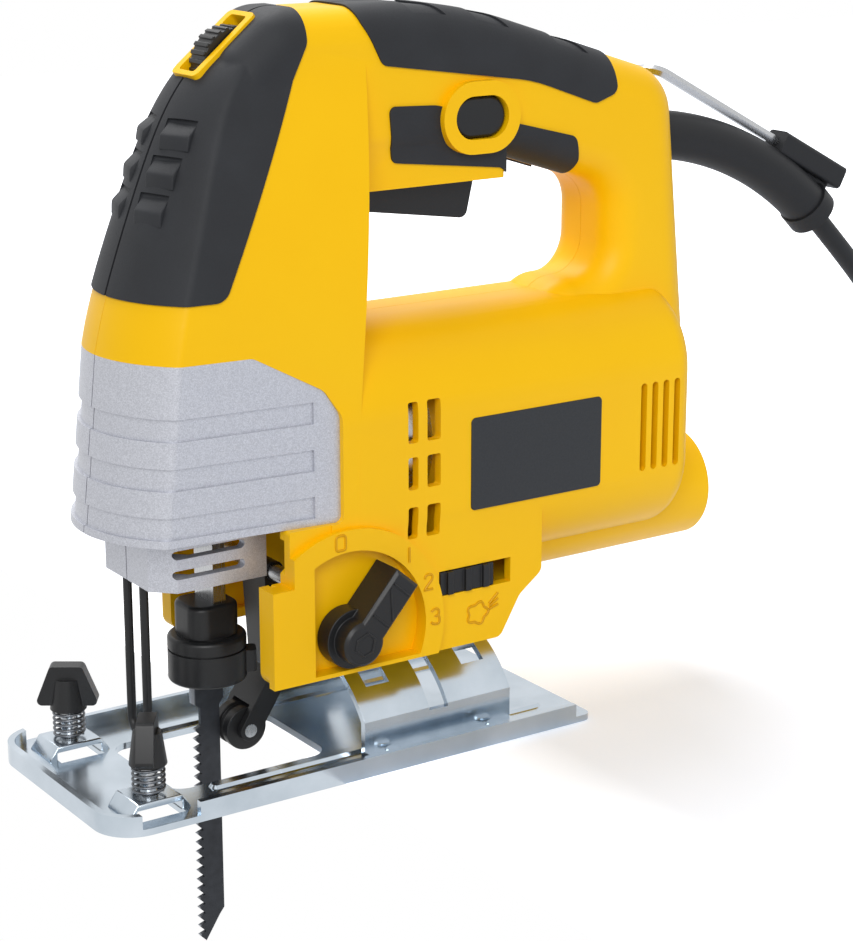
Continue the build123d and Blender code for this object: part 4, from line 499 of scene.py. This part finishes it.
# Soft grips: thermoplastic rubber moulded over the shells, let into them and standing a little proud.
# It is matt, with a fine grain, and its dark grey varies in soft patches where hands have worn it.
rubber_grain = 0.5
rubber_wear = 14.0
rubber_skin_depth = 0.08
front_seam = 0.45
grip_seam = 0.25
soft_rubber, output, place = new_material("overmoulded_soft_rubber")
grain = add_node(
    soft_rubber,
    "ShaderNodeTexNoise",
    {"Vector": place, "Scale": 1 / (rubber_grain * MM), "Detail": 4.0},
)
worn = add_node(
    soft_rubber,
    "ShaderNodeTexNoise",
    {"Vector": place, "Scale": 1 / (rubber_wear * MM), "Detail": 5.0},
)
tone = add_node(
    soft_rubber,
    "ShaderNodeMix",
    {"Factor": worn.outputs["Fac"], 6: srgb("222326"), 7: srgb("2e3034")},
    data_type="RGBA",
)
dull = add_node(
    soft_rubber,
    "ShaderNodeMapRange",
    {"Value": grain.outputs["Fac"], "To Min": 0.5, "To Max": 0.7},
)
skin = add_node(
    soft_rubber,
    "ShaderNodeBump",
    {"Height": grain.outputs["Fac"], "Strength": 0.25, "Distance": rubber_skin_depth * MM},
)
finish_material(
    soft_rubber,
    output,
    add_node(
        soft_rubber,
        "ShaderNodeBsdfPrincipled",
        {
            "Base Color": tone.outputs[2],
            "Roughness": dull.outputs["Result"],
            "IOR": 1.5,
            "Specular IOR Level": 0.28,
            "Normal": skin.outputs["Normal"],
        },
    ),
)
for node in ("front_grip_left", "front_grip_right"):
    finished(node, soft_rubber, "skin", crease=30, edge=0.35, seam=front_seam)
for node in ("handle_grip_left", "handle_grip_right", "side_panel_left", "side_panel_right"):
    finished(node, soft_rubber, "skin", crease=30, edge=0.35, seam=grip_seam)

# Finger rolls in the front grip's louvres: soft ramps that rise out of each recess and stand a little
# proud at their lower edge, moulded in one with the grip. Profiles are in millimetres, out and down.
louvre_heights = (170.0, 179.7, 189.3)
louvre_side = 8.5
roll_half_length = 5.2
roll_round = 0.35
sight_step = 0.4
roll_profile = ((-1.3, 0.3), (0.7, 4.8), (0.85, 5.5), (0.55, 6.6), (-0.3, 9.0), (-1.3, 9.0))


def swept_profile(corners, run):
    """A closed bar: a section of corner points, in metres, swept along a run."""
    form = bmesh.new()
    section = form.faces.new([form.verts.new(corner) for corner in corners])
    swept = bmesh.ops.extrude_face_region(form, geom=[section], use_keep_orig=True)
    far_end = [made for made in swept["geom"] if isinstance(made, bmesh.types.BMVert)]
    bmesh.ops.translate(form, verts=far_end, vec=run)
    bmesh.ops.recalc_face_normals(form, faces=form.faces)
    bmesh.ops.connect_verts_concave(form, faces=form.faces)
    return form


for node, side in (("front_grip_left", -louvre_side), ("front_grip_right", louvre_side)):
    grip = frame["nodes"][node].data
    grip_corners = [corner.co for corner in grip.vertices]
    surface = BVHTree.FromPolygons(grip_corners, [face.vertices for face in grip.polygons])
    for number, height in enumerate(louvre_heights):
        sight = Vector((cad_low[0], side * MM, (height + sight_step) * MM))
        point, outward, _, _ = surface.ray_cast(sight, Vector((1, 0, 0)))
        along = Vector((0, 0, 1)).cross(outward).normalized()
        down = along.cross(outward)
        near_end = point - along * roll_half_length * MM
        corners = []
        for out, drop in roll_profile:
            corners.append(near_end + outward * out * MM + down * (drop + sight_step) * MM)
        roll = swept_profile(corners, along * 2 * roll_half_length * MM)
        bmesh.ops.bevel(
            roll,
            geom=roll.edges,
            offset=roll_round * MM,
            affect="EDGES",
            segments=2,
            profile=0.5,
            material=-1,
        )
        for face in roll.faces:
            face.smooth = True
        name = f"{node}_roll_{number}"
        new_piece(name, mesh_of(name, roll), soft_rubber, node_bodies[node])

# Controls, blade clamp, finger guard and roller: separate mouldings of black glass-filled nylon, fitted to
# the shells and the plunger. The mould leaves a satin skin, with a grain that breaks up its highlights.
nylon_grain = 0.4
nylon_texture_depth = 0.05
black_nylon, output, place = new_material("moulded_black_nylon")
grain = add_node(
    black_nylon,
    "ShaderNodeTexNoise",
    {"Vector": place, "Scale": 1 / (nylon_grain * MM), "Detail": 3.0},
)
tone = add_node(
    black_nylon,
    "ShaderNodeMix",
    {"Factor": grain.outputs["Fac"], 6: srgb("161617"), 7: srgb("202123")},
    data_type="RGBA",
)
satin = add_node(
    black_nylon,
    "ShaderNodeMapRange",
    {"Value": grain.outputs["Fac"], "To Min": 0.3, "To Max": 0.45},
)
texture = add_node(
    black_nylon,
    "ShaderNodeBump",
    {"Height": grain.outputs["Fac"], "Strength": 0.15, "Distance": nylon_texture_depth * MM},
)
finish_material(
    black_nylon,
    output,
    add_node(
        black_nylon,
        "ShaderNodeBsdfPrincipled",
        {
            "Base Color": tone.outputs[2],
            "Roughness": satin.outputs["Result"],
            "IOR": 1.53,
            "Specular IOR Level": 0.32,
            "Normal": texture.outputs["Normal"],
        },
    ),
)
for node in (
    "speed_wheel",
    "trigger",
    "lock_button",
    "selector_lever",
    "blower_slider",
    "clamp_collar",
    "clamp_ring",
    "finger_guard",
    "roller_arm",
    "guide_roller",
):
    finished(node, black_nylon, "moulding", crease=30, edge=0.3)

# Nameplate: a thin plastic plate set into the flank, sprayed with satin charcoal lacquer and left bare.
# It is smoother than the plastics round it, with duller patches where it has been wiped.
plate_grain = 0.6
plate_wipe = 20.0
plate_lacquer, output, place = new_material("satin_charcoal_lacquer")
grain = add_node(
    plate_lacquer,
    "ShaderNodeTexNoise",
    {"Vector": place, "Scale": 1 / (plate_grain * MM), "Detail": 2.0},
)
wiped = add_node(
    plate_lacquer,
    "ShaderNodeTexNoise",
    {"Vector": place, "Scale": 1 / (plate_wipe * MM), "Detail": 3.0},
)
tone = add_node(
    plate_lacquer,
    "ShaderNodeMix",
    {"Factor": grain.outputs["Fac"], 6: srgb("2c2e31"), 7: srgb("37393c")},
    data_type="RGBA",
)
satin = add_node(
    plate_lacquer,
    "ShaderNodeMapRange",
    {"Value": wiped.outputs["Fac"], "To Min": 0.28, "To Max": 0.4},
)
finish_material(
    plate_lacquer,
    output,
    add_node(
        plate_lacquer,
        "ShaderNodeBsdfPrincipled",
        {
            "Base Color": tone.outputs[2],
            "Roughness": satin.outputs["Result"],
            "IOR": 1.5,
            "Specular IOR Level": 0.25,
        },
    ),
)
finished("nameplate", plate_lacquer, "plate", crease=30, edge=0.3)

# Lines on the selector lever's head: a pointed field on the hub and three bars along the pointer,
# moulded in one with the black nylon lever and standing a little proud of it.
lever_hub = (28.9, 42.3)
lever_face = -42.0
lever_turn = math.radians(49)
lever_line = 0.7
lever_lines = (
    (
        (-3, -1.8), (-3, -1.8), (-0.4, -3.2), (-0.4, -3.2), (3, -1.6), (3, -1.6), (3, 1.6),
        (3, 1.6), (-0.4, 3.2), (-0.4, 3.2), (-3, 1.8), (-3, 1.8), (-3, -1.8),
    ),
    ((8, -3.4), (8, 0), (8, 3.4)),
    ((10, -3.4), (13.5, 0), (17, 3.4)),
    ((18.6, -3.4), (18.6, 0), (18.6, 3.4)),
)
turned_lines = []
for points in lever_lines:
    turned_lines.append(
        [
            (
                along * math.cos(lever_turn) - side * math.sin(lever_turn),
                along * math.sin(lever_turn) + side * math.cos(lever_turn),
            )
            for along, side in points
        ]
    )
raised_lines(
    "selector_lever_lines",
    turned_lines,
    lever_line,
    (lever_hub[0], lever_face, lever_hub[1]),
    "selector",
    black_nylon,
)

# Cord sleeve, plug and tie: flexible PVC like the sheath. The sleeve and the plug are moulded round the
# lead's ends, and the tie is strapped round the coil.
for node in ("strain_relief", "plug_body", "cord_tie"):
    finished(node, pvc_sheath, "moulding", crease=30, edge=0.3)

# Gear cover: a die-cast nose in two halves, sprayed with silver sparkle lacquer.
# Fine aluminium flakes lie in the lacquer under a smooth coat. Their glints are painted, as
# lighter and darker silver in random cells of a flake's size.
flake_size = 0.28
silver_lacquer, output, place = new_material("silver_sparkle_lacquer")
flakes = add_node(
    silver_lacquer,
    "ShaderNodeTexVoronoi",
    {"Vector": place, "Scale": 1 / (flake_size * MM)},
)
# Painted glints: each flake-sized cell is given a lighter or darker silver.
painted_glint = add_node(
    silver_lacquer,
    "ShaderNodeMapRange",
    {"Value": flakes.outputs["Color"], "From Min": 0.2, "From Max": 0.95, "To Min": 0.0, "To Max": 1.0},
)
tone = add_node(
    silver_lacquer,
    "ShaderNodeMix",
    {"Factor": painted_glint.outputs["Result"], 6: srgb("b4b6be"), 7: srgb("cdcfd7")},
    data_type="RGBA",
)
finish_material(
    silver_lacquer,
    output,
    add_node(
        silver_lacquer,
        "ShaderNodeBsdfPrincipled",
        {
            "Base Color": tone.outputs[2],
            "Metallic": 0.55,
            "Roughness": 0.42,
            "Coat Weight": 0.25,
            "Coat Roughness": 0.2,
        },
    ),
)
for node in ("gear_cover_left", "gear_cover_right"):
    finished(node, silver_lacquer, "casting", crease=25, edge=0.5, seam=0.25)

# Sole and saddle: pressed sheet steel, bright zinc plated, so it mirrors the room. Its colour is
# painted lighter and darker in soft patches: painted reflection.
# Rolling streaks and handling marks blur that mirror along the sheet.
streak_width = 0.8
streak_length = 40.0
streak_depth = 0.06
patch_size = 16.0
streak_scale = (1 / (streak_length * MM), 1 / (streak_width * MM), 1 / (streak_width * MM))
zinc_plating, output, place = new_material("zinc_plated_sheet")
stretch = add_node(
    zinc_plating,
    "ShaderNodeMapping",
    {"Vector": place, "Scale": streak_scale},
)
streaks = add_node(
    zinc_plating,
    "ShaderNodeTexNoise",
    {"Vector": stretch.outputs["Vector"], "Scale": 1.0, "Detail": 4.0},
)
patches = add_node(
    zinc_plating,
    "ShaderNodeTexNoise",
    {"Vector": place, "Scale": 1 / (patch_size * MM), "Detail": 5.0},
)
# Painted reflection: soft lighter and darker patches in the zinc's colour.
tone = add_node(
    zinc_plating,
    "ShaderNodeMix",
    {"Factor": patches.outputs["Fac"], 6: srgb("a9b5bf"), 7: srgb("d8e1ea")},
    data_type="RGBA",
)
blur = add_node(
    zinc_plating,
    "ShaderNodeMapRange",
    {"Value": patches.outputs["Fac"], "To Min": 0.1, "To Max": 0.3},
)
rolled = add_node(
    zinc_plating,
    "ShaderNodeBump",
    {"Height": streaks.outputs["Fac"], "Strength": 0.12, "Distance": streak_depth * MM},
)
finish_material(
    zinc_plating,
    output,
    add_node(
        zinc_plating,
        "ShaderNodeBsdfPrincipled",
        {
            "Base Color": tone.outputs[2],
            "Metallic": 1.0,
            "Roughness": blur.outputs["Result"],
            "Normal": rolled.outputs["Normal"],
        },
    ),
)
for node in ("saddle_bracket", "saddle_rivets"):
    finished(node, zinc_plating, "pressing", crease=30, edge=0.3)

# Rip fence bridges: the sheet is pressed up round the fence bar into two arches, and each carries a
# wing screw. On the solid the arches stand at the blade, so there they are cut off the plate and its
# beads are run on.
plate_sheet = 2.0
plate_crease = 30
plate_edge = 0.3
fence_x = -32.0
fence_side = 25.0
bridge_half_width = 6.9
bridge_slope = 3.0
bridge_rise = 4.2
bridge_length = 13.0
bridge_edge = 0.8
shank_hole = 2.55
hole_sides = 32
stray_half_length = 10.4
stray_sides = (18.2, 31.8)
stray_sink = 0.02
window_side = 20.0
overhang_reach = 3.0
overhang_gap = 0.01
overhang_low = 0.5
bead_side = 23.3
bead_half_width = 2.3
bead_top_half_width = 1.545
bead_rise = 0.9
bead_sink = 0.1
bead_overlap = 0.2
bridge_profile = (
    (-bridge_half_width - bridge_slope, plate_sheet / 2),
    (-bridge_half_width - bridge_slope, plate_sheet),
    (-bridge_half_width, bridge_rise + plate_sheet),
    (bridge_half_width, bridge_rise + plate_sheet),
    (bridge_half_width + bridge_slope, plate_sheet),
    (bridge_half_width + bridge_slope, plate_sheet / 2),
    (bridge_half_width, plate_sheet / 2),
    (bridge_half_width, bridge_rise),
    (-bridge_half_width, bridge_rise),
    (-bridge_half_width, plate_sheet / 2),
)
bead_profile = (
    (-bead_half_width, plate_sheet - bead_sink),
    (bead_half_width, plate_sheet - bead_sink),
    (bead_top_half_width, plate_sheet + bead_rise),
    (-bead_top_half_width, plate_sheet + bead_rise),
)


def box_between(low, high):
    """A closed box between two corners, in millimetres."""
    form = bmesh.new()
    size = Vector(high) - Vector(low)
    bmesh.ops.create_cube(form, size=1.0)
    bmesh.ops.scale(form, verts=form.verts, vec=size * MM)
    bmesh.ops.translate(form, verts=form.verts, vec=(Vector(low) + size / 2) * MM)
    return form


def cut_away(piece, cutters, crease):
    """Take closed shapes off a piece, and mark its edges sharp or smooth again."""
    helpers = []
    for cutter in cutters:
        helper = bpy.data.objects.new("cutter", mesh_of("cutter", cutter))
        bpy.context.scene.collection.objects.link(helper)
        helpers.append(helper)
        cut = piece.modifiers.new("cut", "BOOLEAN")
        cut.operation = "DIFFERENCE"
        cut.solver = "EXACT"
        cut.object = helper
    bpy.context.view_layer.update()
    whole = piece.evaluated_get(bpy.context.evaluated_depsgraph_get())
    form = bmesh.new()
    form.from_mesh(whole.data)
    bmesh.ops.remove_doubles(form, verts=form.verts, dist=merge_distance)
    mark_creases(form, crease)
    piece.modifiers.clear()
    form.to_mesh(piece.data)
    form.free()
    for helper in helpers:
        bpy.data.objects.remove(helper)


def pressed_piece(name, form):
    """A zinc plated piece of the sole from a closed form, riding on the sole."""
    mesh = mesh_of(name, form)
    return new_piece(name, mesh, zinc_plating, node_bodies["base_plate"])


sole = finished("base_plate", zinc_plating, "pressing", crease=plate_crease)
stray_cutters = []
for hand in (-1, 1):
    for inner, outer, low in (
        (stray_sides[0], stray_sides[1], plate_sheet - stray_sink),
        (window_side - overhang_reach, window_side - overhang_gap, overhang_low),
    ):
        near, far = sorted((hand * inner, hand * outer))
        low_corner = (-stray_half_length, near, low)
        high_corner = (stray_half_length, far, 2 * bridge_rise)
        stray_cutters.append(box_between(low_corner, high_corner))
cut_away(sole, stray_cutters, plate_crease)
soften_edges(sole, plate_edge, plate_crease)

bead_reach = stray_half_length + bead_overlap
for hand, ending in ((-1, "left"), (1, "right")):
    corners = [Vector((-bead_reach, hand * bead_side + across, up)) * MM for across, up in bead_profile]
    bead = swept_profile(corners, Vector((2 * bead_reach, 0, 0)) * MM)
    pressed_piece(f"sole_bead_{ending}", bead)

    near = hand * fence_side - bridge_length / 2
    corners = [Vector((fence_x + along, near, up)) * MM for along, up in bridge_profile]
    arch = swept_profile(corners, Vector((0, bridge_length, 0)) * MM)
    bridge = pressed_piece(f"fence_bridge_{ending}", arch)
    drill = bmesh.new()
    bmesh.ops.create_cone(
        drill,
        cap_ends=True,
        segments=hole_sides,
        radius1=shank_hole * MM,
        radius2=shank_hole * MM,
        depth=3 * bridge_rise * MM,
    )
    shank_place = Vector((fence_x, hand * fence_side, bridge_rise)) * MM
    bmesh.ops.translate(drill, verts=drill.verts, vec=shank_place)
    cut_away(bridge, [drill], plate_crease)
    soften_edges(bridge, bridge_edge, plate_crease, hard=False)

# Plunger, key and pins, and the screws, gears, shafts, bearings and motor cores inside: drawn or turned
# steel, ground to size. Fine grinding lines run up and down it and break up its bright reflections.
grind_width = 0.25
grind_length = 12.0
grind_scale = (1 / (grind_width * MM), 1 / (grind_width * MM), 1 / (grind_length * MM))
ground_steel, output, place = new_material("ground_steel")
stretch = add_node(
    ground_steel,
    "ShaderNodeMapping",
    {"Vector": place, "Scale": grind_scale},
)
grinding = add_node(
    ground_steel,
    "ShaderNodeTexNoise",
    {"Vector": stretch.outputs["Vector"], "Scale": 1.0, "Detail": 2.0},
)
tone = add_node(
    ground_steel,
    "ShaderNodeMix",
    {"Factor": grinding.outputs["Fac"], 6: srgb("a9abad"), 7: srgb("d0d1d3")},
    data_type="RGBA",
)
blur = add_node(
    ground_steel,
    "ShaderNodeMapRange",
    {"Value": grinding.outputs["Fac"], "To Min": 0.18, "To Max": 0.34},
)
finish_material(
    ground_steel,
    output,
    add_node(
        ground_steel,
        "ShaderNodeBsdfPrincipled",
        {"Base Color": tone.outputs[2], "Metallic": 1.0, "Roughness": blur.outputs["Result"]},
    ),
)
for node in (
    "plunger",
    "hex_key",
    "roller_pin",
    "bevel_clamp_screw",
    "bevel_clamp_plate",
    "gear_axle",
    "motor_shaft",
    "pinion",
    "drive_gear",
    "counterweight",
    "front_bearing",
    "rear_bearing",
    "housing_screws",
    "gearbox_bracket",
    "stator",
    "armature_core",
    "roller_arm_pin",
):
    finished(node, ground_steel, "steel", crease=35)

# Fence springs: open coils of oil-hardened spring wire, standing on the bridges round the screws' shanks.
# The furnace leaves the wire grey with darker patches.
scale_size = 1.5
spring_steel, output, place = new_material("oil_hardened_spring_wire")
scale_marks = add_node(
    spring_steel,
    "ShaderNodeTexNoise",
    {"Vector": place, "Scale": 1 / (scale_size * MM), "Detail": 3.0},
)
tone = add_node(
    spring_steel,
    "ShaderNodeMix",
    {"Factor": scale_marks.outputs["Fac"], 6: srgb("57595d"), 7: srgb("82858a")},
    data_type="RGBA",
)
blur = add_node(
    spring_steel,
    "ShaderNodeMapRange",
    {"Value": scale_marks.outputs["Fac"], "To Min": 0.25, "To Max": 0.45},
)
finish_material(
    spring_steel,
    output,
    add_node(
        spring_steel,
        "ShaderNodeBsdfPrincipled",
        {"Base Color": tone.outputs[2], "Metallic": 1.0, "Roughness": blur.outputs["Result"]},
    ),
)
for node in ("fence_spring_left", "fence_spring_right"):
    finished(node, spring_steel, "wire", crease=35)

# Wing screws: a black nylon wing moulded on a plated steel shank, which the spring stands round.
# The faces below the wing are the shank's, and take the steel.
wing_bottom = 14.9
for node in ("fence_screw_left", "fence_screw_right"):
    wing = finished(node, black_nylon, "wing", crease=30, edge=0.3)
    wing.data.materials.append(ground_steel)
    for face in wing.data.polygons:
        if face.center.z < wing_bottom * MM:
            face.material_index = 1

# Saw blade: stamped from tool steel, hardened and blackened, and held in the clamp's collar by its shank.
# The skin is mottled, and the teeth are brighter where they are ground.
mottle_size = 2.5
tooth_depth = 1.3
tooth_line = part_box("saw_blade")[0][0]
blade_dark, output, place = new_material("blackened_tool_steel")
mottle = add_node(
    blade_dark,
    "ShaderNodeTexNoise",
    {"Vector": place, "Scale": 1 / (mottle_size * MM), "Detail": 6.0},
)
tone = add_node(
    blade_dark,
    "ShaderNodeMix",
    {"Factor": mottle.outputs["Fac"], 6: srgb("26282c"), 7: srgb("3d4046")},
    data_type="RGBA",
)
blade_axes = add_node(blade_dark, "ShaderNodeSeparateXYZ", {0: place})
bared = add_node(
    blade_dark,
    "ShaderNodeMapRange",
    {
        "Value": blade_axes.outputs["X"],
        "From Min": tooth_line + 0.5 * tooth_depth * MM,
        "From Max": tooth_line + tooth_depth * MM,
        "To Min": 1.0,
        "To Max": 0.0,
    },
)
ground = add_node(
    blade_dark,
    "ShaderNodeMix",
    {"Factor": bared.outputs["Result"], 6: tone.outputs[2], 7: srgb("9a9da3")},
    data_type="RGBA",
)
finish_material(
    blade_dark,
    output,
    add_node(
        blade_dark,
        "ShaderNodeBsdfPrincipled",
        {"Base Color": ground.outputs[2], "Metallic": 0.6, "Roughness": 0.42},
    ),
)
finished("saw_blade", blade_dark, "steel", crease=30)

# Bushes, commutator, windings and plug pins: bronze, copper and brass, pressed or wound in place.
# All are drawn as one warm brown metal with small darker pores.
pore_size = 0.6
bronze, output, place = new_material("sintered_bronze")
pores = add_node(
    bronze,
    "ShaderNodeTexNoise",
    {"Vector": place, "Scale": 1 / (pore_size * MM), "Detail": 3.0},
)
tone = add_node(
    bronze,
    "ShaderNodeMix",
    {"Factor": pores.outputs["Fac"], 6: srgb("9a6f3c"), 7: srgb("c39256")},
    data_type="RGBA",
)
finish_material(
    bronze,
    output,
    add_node(
        bronze,
        "ShaderNodeBsdfPrincipled",
        {"Base Color": tone.outputs[2], "Metallic": 1.0, "Roughness": 0.4},
    ),
)
for node in ("plunger_bushes", "commutator", "armature_windings", "plug_pins"):
    finished(node, bronze, "bronze", crease=35)

# Fan, brush holders, switch and cord clamp: plain mouldings of the same black nylon as the controls,
# closed in by the shells.
for node in ("fan", "brush_holders", "switch_body", "cord_clamp"):
    finished(node, black_nylon, "moulding", crease=35)

# Bench: a white painted board that the sole and the coil lie on. Its front edge is behind the blade,
# so that the blade hangs free of it.
bench_front = 24.0
bench_reach = 1600.0
bench_drop = 0.05
board = bmesh.new()
bmesh.ops.create_grid(board, x_segments=1, y_segments=1, size=bench_reach * MM)
board_middle = Vector((bench_front + bench_reach, 0, -bench_drop)) * MM
bmesh.ops.translate(board, verts=board.verts, vec=board_middle)
bench_mesh = mesh_of("bench", board)
bench = bpy.data.objects.new("bench", bench_mesh)
bpy.context.scene.collection.objects.link(bench)

# Bench paint: matt white, with a painted glow added that only the camera sees. The glow is weak near
# the tool, so that its shadow shows, and rises to the white of the room away from the tool, where the
# lamps no longer reach, and towards the board's own front edge, where it paints out the shadow.
# Distances are in metres.
near_lift = 0.2
shade_reach = 0.2
white_reach = 0.36
front_fade = 0.11
bench_paint, output, place = new_material("white_bench_paint")
rays = add_node(bench_paint, "ShaderNodeLightPath")
matt = add_node(bench_paint, "ShaderNodeBsdfDiffuse", {"Color": srgb("eef2fa")})
away = add_node(bench_paint, "ShaderNodeVectorMath", {0: place}, operation="LENGTH")
fade = add_node(
    bench_paint,
    "ShaderNodeMapRange",
    {
        "Value": away.outputs["Value"],
        "From Min": shade_reach,
        "From Max": white_reach,
        "To Min": near_lift,
        "To Max": 1.0,
    },
)
bench_axes = add_node(bench_paint, "ShaderNodeSeparateXYZ", {0: place})
edge_fade = add_node(
    bench_paint,
    "ShaderNodeMapRange",
    {
        "Value": bench_axes.outputs["X"],
        "From Min": bench_front * MM,
        "From Max": front_fade,
        "To Min": 1.0,
        "To Max": 0.0,
    },
)
white = add_node(
    bench_paint,
    "ShaderNodeMath",
    {0: fade.outputs["Result"], 1: edge_fade.outputs["Result"]},
    operation="MAXIMUM",
)
lift = add_node(
    bench_paint,
    "ShaderNodeMath",
    {0: white.outputs[0], 1: rays.outputs["Is Camera Ray"]},
    operation="MULTIPLY",
)
# Painted light: a glow that only the camera sees, laid over the lit paint.
glow = add_node(
    bench_paint,
    "ShaderNodeEmission",
    {"Color": (1, 1, 1, 1), "Strength": lift.outputs[0]},
)
lit = add_node(bench_paint, "ShaderNodeAddShader", {0: matt.outputs[0], 1: glow.outputs[0]})
finish_material(bench_paint, output, lit)
bench_mesh.materials.append(bench_paint)

# Light: a white room, one large soft box high behind the camera, and one above and behind the tool.
# The camera and the mirrors see the room as full white, while the light that it gives is weaker.
room_light = 0.47
room_white = 1.0
lamp_target = (0.05, 0, 0.1)
world = bpy.data.worlds.new("white_room")
bpy.context.scene.world = world
world.use_nodes = True
world.node_tree.nodes.clear()
rays = add_node(world, "ShaderNodeLightPath")
seen = add_node(
    world,
    "ShaderNodeMath",
    {0: rays.outputs["Is Camera Ray"], 1: rays.outputs["Is Glossy Ray"]},
    operation="MAXIMUM",
)
seen = add_node(
    world,
    "ShaderNodeMath",
    {0: seen.outputs[0], 1: rays.outputs["Is Transmission Ray"]},
    operation="MAXIMUM",
)
level = add_node(
    world,
    "ShaderNodeMapRange",
    {"Value": seen.outputs[0], "To Min": room_light, "To Max": room_white},
)
backdrop = add_node(
    world,
    "ShaderNodeBackground",
    {"Color": (1, 1, 1, 1), "Strength": level.outputs["Result"]},
)
world_output = add_node(world, "ShaderNodeOutputWorld")
world.node_tree.links.new(backdrop.outputs[0], world_output.inputs["Surface"])


def soft_box(name, place, target, width, watts):
    """A square area lamp at a place, turned to a target, sizes in metres."""
    lamp = bpy.data.lights.new(name, "AREA")
    lamp.size = width
    lamp.energy = watts
    holder = bpy.data.objects.new(name, lamp)
    bpy.context.scene.collection.objects.link(holder)
    holder.location = place
    holder.rotation_euler = (Vector(target) - Vector(place)).to_track_quat("-Z", "Y").to_euler()


soft_box("key_box", (-0.9, -1.3, 1.1), lamp_target, width=1.0, watts=18.5)
soft_box("top_box", (0.15, 0.75, 1.4), lamp_target, width=0.9, watts=16)
